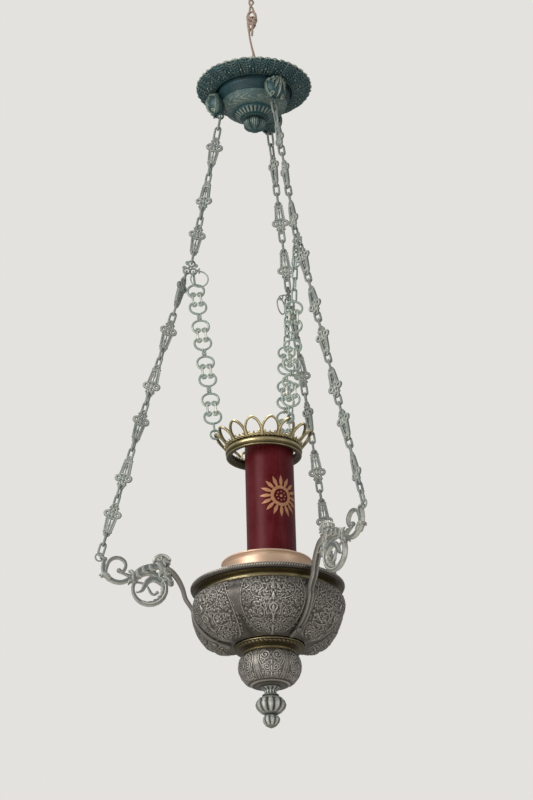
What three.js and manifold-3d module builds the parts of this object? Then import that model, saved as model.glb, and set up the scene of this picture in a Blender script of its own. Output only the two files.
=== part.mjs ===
// A hanging altar lamp of cast and pressed brass, in millimetres, with +Z up.
// The origin is the middle of the ceiling plate's upper face, and everything hangs below it.
// Heights in the dimensions below are measured from the bowl's rim; rimLevel turns them into Z.
// Outlines are lists of [radius from the lamp's axis, height].

import * as THREE from "three";
import { mergeVertices } from "three/addons/utils/BufferGeometryUtils.js";
import Module from "manifold-3d";

const wasm = await Module();
wasm.setup();

// Driving dimensions
const rimLevel = -1140;
const fitGap = 0.4;
const arms = { left: 184, right: 304, back: 64 };

const ceiling = { plateRadius: 32, plateThick: 5, eyeRadius: 12, eyeWire: 3.5, eyeDrop: 36 };
const topRing = { radius: 10, wire: 2.5 };
const rope = { radius: 1.8, sides: 8, knotTop: 1040, knotBottom: 1005, knotWide: 10 };
const swivel = { ringRadius: 8, wire: 2.2, ringHeight: 925, stemRadius: 3.5, stemFoot: 872 };

const canopy = { edgeRadius: 98.2, leafDepth: 1.6, leaves: 24, top: 887, underside: 880, hole: 4.2 };
const lug = { radius: 66, height: 855, deep: 14, halfWide: 19, halfTall: 19.5, eyeRadius: 57, eyeHeight: 834, eyeRing: 4.6, wire: 1.4 };

// Main chains: distances of the cast links' middles from the top of each stretch
const chain = {
  top: [57, 833.3],
  junction: [111, 550],
  wire: 1.4,
  looseWire: 1.7,
  ovalRadius: 4.4,
  ovalPitch: 36,
  ovalBite: 1.7,
  linkHalf: 27.5,
  linkBite: 2.2,
  linkThick: 4,
  upperLinks: [70, 153.5, 237],
  lowerLinks: [39.5, 121, 202.5, 284, 365.5, 447],
};
// How each cast link hangs, from the top down: its discs up or down, and its twist about the chain
const hang = {
  left: { upper: ["up", "down", "up"], lower: ["up", "up", "down", "up", "down", "up"] },
  right: { upper: ["down", "up", "down"], lower: ["up", "down", "up", "down", "up", "down"] },
  back: { upper: ["up", "down", "down"], lower: ["up", "down", "up", "down", "down", "up"] },
};
const twists = {
  left: { upper: [0, 20, 10], lower: [60, 15, 0, 20, 10, 0] },
  right: { upper: [10, -8, 5], lower: [12, -5, 10, -10, 5, 12] },
  back: { upper: [60, 65, 60], lower: [60, 55, 60, 65, 55, 65] },
};
// Holes of the junction plate, from its middle
const plate = { top: [-2, 7], outer: [6, -6], inner: [-4.5, -7], hole: 3.9, slack: 0.6, eyeAt: [-14, -10], eyeSide: 8.2, thick: 3 };
const looseRing = { radius: 14, wire: 1.2, eyeRadius: 3.8, eyeWire: 1.1 };
const endRing = { radius: 6.9, wire: 1.5, centre: [256.4, 52.5], loopRadius: 4.6, loopWire: 1.4 };

const crownChain = { back: 28, wide: 2.8, thick: 3, ovalPitch: 24, jumpRing: 4.4, jumpWire: 1.5, hookRing: 7.2 };
// Middles of the scroll pairs, from the junction down
const scrollPairs = { left: [50, 114, 178, 243], right: [121, 185, 243], back: [121, 185, 243] };
// Degrees that each arm's scroll pairs are turned about their chain
const scrollTurns = { left: 0, right: 56, back: -64 };
const crown = {
  petals: 15,
  foot: [57, 232.6],
  tip: [76, 256],
  petalWide: 21,
  barWide: 2.8,
  thick: 1.8,
};

const candle = { offset: 8, radius: 38, wall: 2.5, foot: 42.6, top: 237, waxTop: 205, wickFoot: 195, wickTop: 216 };
const sunburst = { direction: -64, height: 138.5, rays: 16, tip: 34, ring: 16, hole: 11, lift: 0.5, thick: 0.5 };
const bowl = { valley: 0.06, lobes: 6, fadeTop: -16, fullTop: -27, fullFoot: -66, fadeFoot: -89 };
const rod = { radius: 5, bore: 5.5, top: -78, foot: -177.6 };
const strap = { wide: 9, thick: 4, lift: 3.4 };
const bracketThick = 8;

// Materials
const finish = (colour, roughness, metalness) =>
  new THREE.MeshStandardMaterial({ color: colour, roughness, metalness });
const verdigris = finish(0x35544f, 0.75, 0.5);
const chainMetal = finish(0x7f8a7c, 0.6, 0.6);
const crownChainMetal = finish(0x86998c, 0.6, 0.6);
const agedBrass = finish(0x8c7a4c, 0.4, 0.9);
const darkBowl = finish(0x58524a, 0.5, 0.8);
const copper = finish(0xc99b78, 0.35, 0.9);
const redTube = finish(0x5e1c22, 0.25, 0);
const paleGold = finish(0xc08f62, 0.5, 0.3);
const wax = finish(0xefe3c8, 0.6, 0);
const rawCotton = finish(0xd8cdb8, 0.9, 0);
const twine = finish(0x9a7862, 0.9, 0);
const ironGrey = finish(0x4a4640, 0.6, 0.8);

const lamp = new THREE.Group();

const radians = THREE.MathUtils.degToRad;

// A group turned so that its +X points out along one arm of the lamp.
function armGroup(side) {
  const group = new THREE.Group();
  group.rotation.z = radians(arms[side]);
  lamp.add(group);
  return group;
}

function addMesh(name, geometry, material, parent = lamp) {
  const mesh = new THREE.Mesh(geometry, material);
  mesh.name = name;
  parent.add(mesh);
  return mesh;
}

// Joining and cutting of closed geometries
function toSolid(geometry) {
  const bare = new THREE.BufferGeometry();
  const source = geometry.index ? geometry.toNonIndexed() : geometry;
  bare.setAttribute("position", source.getAttribute("position").clone());
  const merged = mergeVertices(bare, 1e-4);
  return new wasm.Manifold(
    new wasm.Mesh({
      numProp: 3,
      vertProperties: merged.attributes.position.array,
      triVerts: new Uint32Array(merged.index.array),
    }),
  );
}

function toGeometry(solid) {
  const mesh = solid.getMesh();
  const geometry = new THREE.BufferGeometry();
  geometry.setAttribute("position", new THREE.BufferAttribute(new Float32Array(mesh.vertProperties), 3));
  geometry.setIndex(new THREE.BufferAttribute(new Uint32Array(mesh.triVerts), 1));
  geometry.computeVertexNormals();
  return geometry;
}

function joined(geometries) {
  return toGeometry(geometries.map(toSolid).reduce((whole, piece) => whole.add(piece)));
}

function cut(geometry, tool) {
  return toGeometry(toSolid(geometry).subtract(toSolid(tool)));
}

// A profile of [radius, height above the rim] turned round the lamp's axis, with its first corner towards +X
// and its faces looking out.
function turned(profile, sides, base = rimLevel) {
  let area = 0;
  profile.forEach(([radius, height], i) => {
    const [nextRadius, nextHeight] = profile[(i + 1) % profile.length];
    area += radius * nextHeight - nextRadius * height;
  });
  const run = area > 0 ? profile : [...profile].reverse();
  const points = run.map(([radius, height]) => new THREE.Vector2(radius, height + base));
  return new THREE.LatheGeometry(points, sides).rotateX(Math.PI / 2).rotateZ(Math.PI / 2);
}

// The same for a ring: its profile closes on itself.
function turnedRing(profile, sides) {
  return turned([...profile, profile[0]], sides);
}

// Scales each vertex's radius by a factor of its direction, radius and height above the rim.
function shapedRound(geometry, factor) {
  const position = geometry.getAttribute("position");
  for (let i = 0; i < position.count; i++) {
    const x = position.getX(i);
    const y = position.getY(i);
    const scale = factor(Math.atan2(y, x), Math.hypot(x, y), position.getZ(i) - rimLevel);
    position.setXY(i, x * scale, y * scale);
  }
  return geometry;
}

// A flat outline in an arm's upright plane, as [radius, height above the rim], given a thickness across it.
function upright(outline, thick, holes = []) {
  const toPoint = ([radius, height]) => new THREE.Vector2(radius, height + rimLevel);
  const shape = new THREE.Shape(outline.map(toPoint));
  shape.holes = holes.map((hole) => new THREE.Path(hole.map(toPoint)));
  const geometry = new THREE.ExtrudeGeometry(shape, { depth: thick, bevelEnabled: false, curveSegments: 6 });
  return geometry.translate(0, 0, -thick / 2).rotateX(Math.PI / 2);
}

function polygon([radius, height], size, corners, start = 0) {
  const points = [];
  for (let i = 0; i < corners; i++) {
    const angle = start + (i / corners) * Math.PI * 2;
    points.push([radius + size * Math.cos(angle), height + size * Math.sin(angle)]);
  }
  return points;
}

// The outline of a bar of even or tapering width along a smooth line through points.
function barOutline(points, widthAt, steps) {
  const line = new THREE.SplineCurve(points.map(([radius, height]) => new THREE.Vector2(radius, height)));
  const near = [];
  const far = [];
  for (let i = 0; i <= steps; i++) {
    const place = line.getPoint(i / steps);
    const along = line.getTangent(i / steps);
    const half = widthAt(i / steps) / 2;
    near.push([place.x - along.y * half, place.y + along.x * half]);
    far.unshift([place.x + along.y * half, place.y - along.x * half]);
  }
  return [...near, ...far];
}

function bar(points, width, thick, steps) {
  const widthAt = typeof width === "function" ? width : () => width;
  return upright(barOutline(points, widthAt, steps), thick);
}

// A wire ring in local XY with a corner at the top, drawn out to an oval of the given half length.
function wireRing(radius, wire, halfLength = radius, sides = 4, steps = 6) {
  const ring = new THREE.TorusGeometry(radius, wire, sides, steps).rotateZ(Math.PI / 2);
  const position = ring.getAttribute("position");
  for (let i = 0; i < position.count; i++) {
    const y = position.getY(i);
    const end = Math.abs(y) < 1e-3 ? 0 : Math.sign(y);
    position.setY(i, y + end * (halfLength - radius));
  }
  return ring;
}

// Places a piece drawn in local XY (Y along the chain, Z its thickness) in an arm's upright plane.
// along is the direction of local Y in that plane, and twist turns the piece about the chain.
function placed(geometry, [radius, height], along, twist) {
  const up = new THREE.Vector3(along[0], 0, along[1]).normalize();
  const side = new THREE.Vector3(up.z, 0, -up.x);
  const frame = new THREE.Matrix4().makeBasis(side, up, new THREE.Vector3().crossVectors(side, up));
  geometry.applyMatrix4(new THREE.Matrix4().makeRotationY(radians(twist)));
  geometry.applyMatrix4(frame);
  return geometry.translate(radius, 0, height + rimLevel);
}

// Ceiling plate, screw eye and connecting ring
function addCeilingGear() {
  const { plateRadius, plateThick, eyeRadius, eyeWire, eyeDrop } = ceiling;
  const plate = [
    [0, -plateThick],
    [plateRadius - 8, -plateThick],
    [plateRadius, -2],
    [plateRadius, 0],
    [0, 0],
  ];
  addMesh("ceiling_plate", turned(plate, 24, 0), agedBrass);

  const shankTop = -plateThick - fitGap;
  const shank = [
    [0, -eyeDrop + eyeRadius],
    [4, -eyeDrop + eyeRadius],
    [4, shankTop - 4],
    [8, shankTop - 4],
    [8, shankTop],
    [0, shankTop],
  ];
  const eye = wireRing(eyeRadius, eyeWire, eyeRadius, 6, 12).rotateX(Math.PI / 2).translate(0, 0, -eyeDrop);
  addMesh("screw_eye", joined([turned(shank, 10, 0), eye]), ironGrey);

  const ringTop = -eyeDrop - eyeRadius + eyeWire + topRing.wire + fitGap;
  const ring = wireRing(topRing.radius, topRing.wire, topRing.radius, 6, 12).rotateY(Math.PI / 2);
  addMesh("connecting_ring", ring.translate(0, 0, ringTop - topRing.radius), ironGrey);
}

// A round cord along points of [x, y, height above the rim].
function cordAlong(points, steps) {
  const route = new THREE.CatmullRomCurve3(points.map(([x, y, height]) => new THREE.Vector3(x, y, height + rimLevel)));
  const section = new THREE.Shape(
    polygon([0, 0], rope.radius, rope.sides).map(([x, y]) => new THREE.Vector2(x, y)),
  );
  return new THREE.ExtrudeGeometry(section, { extrudePath: route, steps, bevelEnabled: false });
}

// The rope: a loop over the connecting ring whose two strands twist down to the knot,
// the knot, and a loop from the knot through the swivel eye.
function addRope() {
  const loopTop = 1083.6;
  const upper = [
    [-3.2, 0, rope.knotTop + 1],
    [-3.2, 0, 1044],
    [-1.6, -2.6, 1050],
    [2.8, -1.6, 1057],
    [2.8, 2.2, 1063],
    [-2.4, 3.2, 1069],
    [-5.2, 1.2, 1075],
    [-5.2, 0, 1080],
    [0, 0, loopTop],
    [5.2, 0, 1080],
    [5.2, -1.2, 1075],
    [2.4, -3.2, 1069],
    [-2.8, -2.2, 1063],
    [-2.8, 1.6, 1057],
    [1.6, 2.6, 1050],
    [3.2, 0, 1044],
    [3.2, 0, rope.knotTop + 1],
  ];
  addMesh("rope_upper", cordAlong(upper, 22), twine);

  const knot = new THREE.IcosahedronGeometry(1, 2);
  knot.scale(rope.knotWide, rope.knotWide - 1, (rope.knotTop - rope.knotBottom) / 2);
  knot.translate(0, 0, (rope.knotTop + rope.knotBottom) / 2 + rimLevel);
  addMesh("rope_knot", knot, twine);

  const bend = swivel.ringHeight + swivel.ringRadius - swivel.wire - rope.radius - 5 * fitGap;
  const lower = [
    [-5.4, -2.4, rope.knotBottom - 3],
    [-4.6, -3.2, 990],
    [-1.6, -3.8, 970],
    [2.4, -3, 952],
    [5, -1, 941],
    [5.6, 0, 934],
    [0, 0, bend],
    [-5.6, 0, 934],
    [-4.4, 1.4, 940],
    [-0.6, 3.2, 948],
    [0.8, 3.8, 958],
    [-1, 3.8, 970],
    [-4.2, 3.2, 990],
    [-5.2, 2.6, rope.knotBottom - 3],
  ];
  addMesh("rope_lower", cordAlong(lower, 18), twine);
}

// The eye bolt that the lamp turns on, and the nut that holds it inside the canopy
function addSwivel() {
  const { ringRadius, wire, ringHeight, stemRadius, stemFoot } = swivel;
  const shoulder = canopy.top + fitGap;
  const stem = [
    [0, stemFoot],
    [stemRadius, stemFoot],
    [stemRadius, shoulder],
    [8, shoulder],
    [8, shoulder + 3],
    [stemRadius, shoulder + 6],
    [stemRadius, ringHeight - ringRadius],
    [0, ringHeight - ringRadius],
  ];
  const ring = wireRing(ringRadius, wire, ringRadius, 6, 12).rotateY(Math.PI / 2).translate(0, 0, ringHeight + rimLevel);
  addMesh("swivel_eye", joined([turned(stem, 12), ring]), verdigris);
  const nutTop = canopy.underside - fitGap;
  const thread = (stemRadius + fitGap) / Math.cos(Math.PI / 6);
  const nut = [
    [thread, nutTop - 6],
    [8.5, nutTop - 6],
    [8.5, nutTop],
    [thread, nutTop],
  ];
  addMesh("swivel_nut", turnedRing(nut, 6), ironGrey);
}

const bellOutline = [
  [60.5, 879.6],
  [60.5, 872],
  [57, 864],
  [54, 858],
  [54, 854],
  [50, 847],
  [40, 840.5],
  [33.5, 838.5],
  [33, 834],
  [27, 829],
  [13, 828],
];

function addCanopy() {
  const { edgeRadius, leafDepth, leaves, top, underside, hole } = canopy;
  const dish = [
    [hole, underside],
    [62, underside],
    [64, 876.5],
    [84, 880],
    [edgeRadius, 889],
    [edgeRadius - 3, 892.5],
    [80, top],
    [hole, top],
  ];
  const scallop = (angle, radius) => 1 + ((leafDepth / edgeRadius) * Math.cos(leaves * angle) * radius) / edgeRadius;
  const waved = shapedRound(turnedRing(dish, leaves * 2), (angle, radius) => (radius > 80 ? scallop(angle, radius) : 1));
  addMesh("canopy_dish", waved, verdigris);

  const inside = [
    [0, 845],
    [46, 854],
    [57, 879.6],
  ];
  const bell = [...inside, ...bellOutline, [0, 828]];
  addMesh("canopy_bell", turned(bell.reverse(), 28), verdigris);

  const bud = [
    [0, 803.5],
    [4, 805],
    [10, 808.5],
    [17, 813],
    [19, 819.5],
    [15, 825.5],
    [12.5, 827.6],
    [0, 827.6],
  ];
  addMesh("canopy_bud", turned(bud, 16), verdigris);
}

// A cast leaf lug, hollowed where it sits against the bell, with the eye that a chain hangs from.
function addLug(side, group) {
  const seat = bellOutline.map(([radius, height]) => [radius + fitGap, height]);
  const seatSolid = turned([[0, 828], ...seat.reverse(), [0, 879.6]], 28);
  seatSolid.rotateZ(-radians(arms[side]));
  const body = new THREE.SphereGeometry(1, 8, 6).rotateX(Math.PI / 2);
  body.scale(lug.deep, lug.halfWide, lug.halfTall).translate(lug.radius, 0, lug.height + rimLevel);
  const eye = wireRing(lug.eyeRing, lug.wire, lug.eyeRing, 5, 8).rotateX(Math.PI / 2);
  eye.translate(lug.eyeRadius, 0, lug.eyeHeight + rimLevel);
  const neck = new THREE.BoxGeometry(5, 5, 7).translate(lug.eyeRadius + 1, 0, lug.eyeHeight + 8 + rimLevel);
  const solid = toSolid(body).subtract(toSolid(seatSolid)).add(toSolid(cut(neck, seatSolid))).add(toSolid(eye));
  addMesh("chain_lug_" + side, toGeometry(solid), verdigris, group);
}

// One cast chain link in local XY with its side discs towards +Y: a slotted stem with a tab at each end
function castLink() {
  const half = [
    [3, 27.5],
    [5.8, 24.5],
    [8, 18.5],
    [14.4, 13.4],
    [14.4, 7.6],
    [7.4, 2],
    [6, -21],
    [3, -27.5],
  ];
  const outline = [...half, ...half.map(([x, y]) => [-x, y]).reverse()];
  const toPoint = ([x, y]) => new THREE.Vector2(x, y);
  const shape = new THREE.Shape(outline.map(toPoint));
  const slot = [[-2.2, -16], [2.2, -16], [3, 14], [-3, 14]];
  shape.holes = [new THREE.Path(slot.map(toPoint))];
  const geometry = new THREE.ExtrudeGeometry(shape, { depth: chain.linkThick, bevelEnabled: false });
  return geometry.translate(0, 0, -chain.linkThick / 2);
}

// A straight stretch of main chain between two wire centres: cast links at the given distances from
// the top, and oval links in the gaps, the end ones square to the arm's plane.
function chainStretch(from, to, links, discs, turns) {
  const length = Math.hypot(to[0] - from[0], to[1] - from[1]);
  const down = [(to[0] - from[0]) / length, (to[1] - from[1]) / length];
  const up = [-down[0], -down[1]];
  const at = (distance) => [from[0] + down[0] * distance, from[1] + down[1] * distance];
  const pieces = links.map((distance, i) => placed(castLink(), at(distance), discs[i] === "up" ? up : down, turns[i]));
  const reach = chain.linkHalf - chain.linkBite;
  const starts = [0, ...links.map((distance) => distance + reach)];
  const ends = [...links.map((distance) => distance - reach), length];
  starts.forEach((start, gap) => {
    const span = ends[gap] - start;
    const count = Math.max(1, Math.round(span / chain.ovalPitch));
    const half = (span + (count - 1) * chain.ovalBite) / count / 2;
    for (let i = 0; i < count; i++) {
      const square = (gap === 0 && i === 0) || (gap === starts.length - 1 && i === count - 1);
      const twist = square ? 90 : 90 + (i % 2 ? 50 : -40);
      const middle = start + half + i * (2 * half - chain.ovalBite);
      const ring = square
        ? wireRing(chain.ovalRadius, chain.wire, half)
        : wireRing(chain.ovalRadius, chain.looseWire, half, 3);
      pieces.push(placed(ring, at(middle), up, twist));
    }
  });
  return joined(pieces);
}

const fromJunction = ([across, above]) => [chain.junction[0] + across, chain.junction[1] + above];

// A point a short way from another towards a third
function towards([r, h], [r2, h2], distance) {
  const length = Math.hypot(r2 - r, h2 - h);
  return [r + ((r2 - r) * distance) / length, h + ((h2 - h) * distance) / length];
}

function addMainChain(side, group) {
  const upperEnd = towards(fromJunction(plate.top), chain.top, plate.slack);
  const upper = chainStretch(chain.top, upperEnd, chain.upperLinks, hang[side].upper, twists[side].upper);
  addMesh("chain_upper_" + side, upper, chainMetal, group);

  const lowerStart = towards(fromJunction(plate.outer), endRing.centre, plate.slack);
  const inRing = endRing.radius - endRing.wire - chain.wire - 3 * fitGap;
  const lowerEnd = towards(endRing.centre, lowerStart, inRing);
  const lower = chainStretch(lowerStart, lowerEnd, chain.lowerLinks, hang[side].lower, twists[side].lower);
  addMesh("chain_lower_" + side, lower, chainMetal, group);

  const ring = wireRing(endRing.radius, endRing.wire, endRing.radius, 5, 10).rotateX(Math.PI / 2);
  addMesh("end_ring_" + side, ring.translate(endRing.centre[0], 0, endRing.centre[1] + rimLevel), chainMetal, group);
}

// The plate where a crown chain leaves a main chain, with an upright eye on its face for the loose ring.
function addJunction(side, group) {
  const outline = [
    [-7, 10],
    [-2, 12.6],
    [3.4, 10],
    [5.4, 1],
    [11.2, -3],
    [11, -9],
    [6, -11.4],
    [-4.4, -12.6],
    [-9.8, -10],
    [-9.4, -3],
  ];
  const holes = [plate.top, plate.outer, plate.inner].map((place) =>
    polygon(fromJunction(place), plate.hole, 6),
  );
  const body = upright(outline.map(fromJunction), plate.thick, holes);
  const [eyeRadius, eyeHeight] = fromJunction(plate.eyeAt);
  const eye = wireRing(looseRing.eyeRadius, looseRing.eyeWire, looseRing.eyeRadius, 4, 8).rotateY(Math.PI / 2);
  eye.translate(eyeRadius, plate.eyeSide, eyeHeight + rimLevel);
  const arm = new THREE.BoxGeometry(7, 2.4, 2.4);
  arm.translate(eyeRadius + 3.4, 1.2, eyeHeight + looseRing.eyeRadius - 0.4 + rimLevel);
  const bridge = new THREE.BoxGeometry(2.4, plate.eyeSide, 2.4);
  bridge.translate(eyeRadius, plate.eyeSide / 2, eyeHeight + looseRing.eyeRadius - 0.4 + rimLevel);
  addMesh("junction_" + side, joined([body, eye, arm, bridge]), chainMetal, group);

  const wireHeight = eyeHeight - looseRing.eyeRadius + looseRing.eyeWire + looseRing.wire + fitGap;
  const loose = wireRing(looseRing.radius, looseRing.wire, looseRing.radius, 4, 16).rotateX(Math.PI / 2);
  loose.translate(eyeRadius, plate.eyeSide, wireHeight - looseRing.radius + rimLevel);
  addMesh("loose_ring_" + side, loose, chainMetal, group);
}

// A mirrored pair of C-shaped links in local XY, back to back along Y and touching at their curled ends
function scrollPair() {
  const quarterOutside = [
    [11.4, 24.2],
    [14.6, 11],
  ];
  const quarterInside = [
    [9.6, 21.4],
    [11.6, 11],
  ];
  const allRound = (top, quarter, waist) => {
    const right = [top, ...quarter, waist, ...quarter.map(([x, y]) => [x, -y]).reverse()];
    return [...right, ...right.map(([x, y]) => [-x, -y])];
  };
  const solidOf = (points, thick) => {
    const shape = new THREE.Shape(points.map(([x, y]) => new THREE.Vector2(x, y)));
    const geometry = new THREE.ExtrudeGeometry(shape, { depth: thick, bevelEnabled: false });
    return geometry.translate(0, 0, -thick / 2);
  };
  const outside = allRound([0, crownChain.back], quarterOutside, [6.4, 0]);
  const inside = allRound([0, crownChain.back - crownChain.wide], quarterInside, [3.4, 0]);
  return cut(solidOf(outside, crownChain.thick), solidOf(inside, crownChain.thick + 2));
}

function addCrownChain(side, group) {
  // The hook ring's middle is at the petal's tip, so that the petal's bar lies inside it with room to move.
  const hook = crown.tip;
  const start = towards(fromJunction(plate.inner), hook, plate.slack);
  const length = Math.hypot(hook[0] - start[0], hook[1] - start[1]);
  const down = [(hook[0] - start[0]) / length, (hook[1] - start[1]) / length];
  const up = [-down[0], -down[1]];
  const at = (distance) => [start[0] + down[0] * distance, start[1] + down[1] * distance];
  const pieces = [];
  const middles = scrollPairs[side];
  for (const middle of middles) {
    pieces.push(placed(scrollPair(), at(middle), up, scrollTurns[side]));
  }
  const backs = middles.slice(1).map((middle, i) => (middle + middles[i]) / 2);
  for (const distance of backs) {
    const ring = wireRing(crownChain.jumpRing, crownChain.jumpWire);
    pieces.push(placed(ring, at(distance), up, 90 + scrollTurns[side]));
  }
  const span = middles[0] - crownChain.back + 1.2;
  const count = Math.round(span / crownChain.ovalPitch);
  const half = (span + (count - 1) * chain.ovalBite) / count / 2;
  for (let i = 0; i < count; i++) {
    const oval = wireRing(chain.ovalRadius, chain.wire, half);
    pieces.push(placed(oval, at(half + i * (2 * half - chain.ovalBite)), up, i % 2 ? 40 : 90));
  }
  const hookTop = length - crownChain.hookRing;
  const lastBack = middles[middles.length - 1] + crownChain.back;
  const link = wireRing(3.6, 1.5, (hookTop - lastBack + 4) / 2);
  pieces.push(placed(link, at((hookTop + lastBack) / 2), up, 90));
  pieces.push(placed(wireRing(crownChain.hookRing, 1.5, crownChain.hookRing, 4, 10), at(length), up, 0));
  addMesh("crown_chain_" + side, joined(pieces), crownChainMetal, group);
}

function addCrown() {
  const ring = [
    [50.5, 218],
    [57, 216.4],
    [59.4, 217.8],
    [57.8, 220],
    [60.2, 225],
    [57.6, 230],
    [53.5, 231],
    [50.5, 228.5],
  ];
  addMesh("crown_ring", turnedRing(ring, 28), agedBrass);

  // Each petal is a pointed arch standing on the gallery's foot ring and leaning outwards.
  const [footRadius, footHeight] = crown.foot;
  const reach = Math.hypot(crown.tip[0] - footRadius, crown.tip[1] - footHeight);
  const lean = Math.atan2(crown.tip[0] - footRadius, crown.tip[1] - footHeight);
  const half = crown.petalWide / 2;
  const archOutline = [
    [half, 0],
    [half + 1.2, reach * 0.42],
    [half - 2, reach * 0.74],
  ];
  const inset = crown.barWide;
  const archHole = [
    [half - inset, 4.4],
    [half + 0.8 - inset, reach * 0.42],
    [half - 2.6 - inset, reach * 0.7],
    [0.6, reach - inset * 1.35],
  ];
  const mirrored = (points) => points.map(([x, y]) => [-x, y]).reverse();
  const toPoint = ([x, y]) => new THREE.Vector2(x, y);
  const arch = new THREE.Shape([...archOutline, [0, reach], ...mirrored(archOutline)].map(toPoint));
  arch.holes = [new THREE.Path([...archHole, ...mirrored(archHole)].map(toPoint))];
  const petals = [];
  for (let i = 0; i < crown.petals; i++) {
    const petal = new THREE.ExtrudeGeometry(arch, { depth: crown.thick, bevelEnabled: false });
    petal.translate(0, 0, -crown.thick / 2).rotateX(Math.PI / 2).rotateZ(Math.PI / 2);
    petal.rotateY(lean).translate(footRadius, 0, footHeight + rimLevel);
    petals.push(petal.rotateZ(radians(arms.left) + (i / crown.petals) * Math.PI * 2));
  }
  const foot = [
    [54, 231.4],
    [58.6, 231.4],
    [60.6, 235.6],
    [56.4, 234.4],
  ];
  const facet = Math.PI / crown.petals;
  const footRing = turnedRing(foot, crown.petals).rotateZ(radians(arms.left) - facet);
  addMesh("crown_gallery", joined([footRing, ...petals]), agedBrass);
}

// Candle: tube, wax, wick and the sunburst label, all standing a little off the lamp's axis
function addCandle() {
  const { offset, radius, wall, foot, top, waxTop, wickFoot, wickTop } = candle;
  const stand = new THREE.Group();
  stand.position.x = offset;
  lamp.add(stand);
  const sides = 32;
  const tube = [
    [radius - wall, foot],
    [radius, foot],
    [radius, top],
    [radius - wall, top],
  ];
  addMesh("candle_tube", turnedRing(tube, sides), redTube, stand);
  const fill = radius - wall - fitGap;
  const body = [
    [0, foot],
    [fill, foot],
    [fill, waxTop],
    [2.2, waxTop],
    [2.2, wickFoot - fitGap],
    [0, wickFoot - fitGap],
  ];
  addMesh("candle_wax", turned(body, 24), wax, stand);
  const wick = [
    [0, wickFoot],
    [1.3, wickFoot],
    [1.3, wickTop],
    [0, wickTop],
  ];
  addMesh("wick", turned(wick, 8), rawCotton, stand);

  const wrap = (x) => (radius + sunburst.lift) * Math.sin(x / (radius + sunburst.lift));
  const rays = [];
  for (let i = 0; i < sunburst.rays * 2; i++) {
    const angle = (i / (sunburst.rays * 2)) * Math.PI * 2;
    const reach = i % 2 ? sunburst.ring : sunburst.tip;
    rays.push(new THREE.Vector2(wrap(reach * Math.cos(angle)), reach * Math.sin(angle)));
  }
  const star = new THREE.Shape(rays);
  star.holes = [new THREE.Path(polygon([0, 0], sunburst.hole, 16).map(([x, y]) => new THREE.Vector2(wrap(x), y)))];
  const prism = new THREE.ExtrudeGeometry(star, { depth: radius + 10, bevelEnabled: false });
  prism.rotateX(Math.PI / 2).translate(0, 0, sunburst.height + rimLevel);
  prism.rotateZ(radians(sunburst.direction) + Math.PI / 2);
  const inner = radius + sunburst.lift;
  const shell = [
    [inner, 100],
    [inner + sunburst.thick, 100],
    [inner + sunburst.thick, 200],
    [inner, 200],
  ];
  const label = toSolid(prism).intersect(toSolid(turnedRing(shell, sides)));
  addMesh("sunburst_label", toGeometry(label), paleGold, stand);
}

const panProfile = [
  [0, 42.2],
  [68, 41.2],
  [70.5, 39.6],
  [70.5, 37.6],
  [68.5, 36.6],
  [66, 26],
  [66, 10.8],
  [63.5, 10.8],
  [63.5, 27],
  [65.5, 37.6],
  [64, 38.6],
  [0, 39],
];

const bodyOutside = [
  [104.5, -14.8],
  [114.5, -20.5],
  [119.6, -33],
  [118.4, -45],
  [112, -58.5],
  [100, -71.5],
  [79, -83.4],
  [54, -91.5],
];
const bodyInside = [
  [53, -88.5],
  [86, -75.4],
  [103.5, -62.5],
  [113.6, -46],
  [116, -34],
  [108, -20.6],
  [99, -16.6],
  [99, -14.8],
];

// How far the valleys between the lobes cut in at a height
function lobeDepth(height) {
  const rise = THREE.MathUtils.smoothstep(-height, -bowl.fadeTop, -bowl.fullTop);
  const fall = 1 - THREE.MathUtils.smoothstep(-height, -bowl.fullFoot, -bowl.fadeFoot);
  return bowl.valley * Math.min(rise, fall);
}

// How far the middle of a lobe swells out at a height, [height, share of the radius]
const lobeSwell = [
  [-92, 0],
  [-88, 0.11],
  [-83.4, 0.12],
  [-71.5, 0.09],
  [-58.5, 0.055],
  [-45, 0.035],
  [-33, 0.02],
  [-20, 0],
];

function swellAt(height) {
  const next = lobeSwell.findIndex(([level]) => level >= height);
  if (next < 1) return 0;
  const [low, from] = lobeSwell[next - 1];
  const [high, to] = lobeSwell[next];
  return from + ((to - from) * (height - low)) / (high - low);
}

function lobeFactor(angle, radius, height) {
  const rise = Math.abs(Math.sin((bowl.lobes / 2) * (angle - radians(arms.left))));
  return 1 - lobeDepth(height) * (1 - Math.pow(rise, 0.7)) + swellAt(height) * Math.pow(rise, 4);
}

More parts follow.
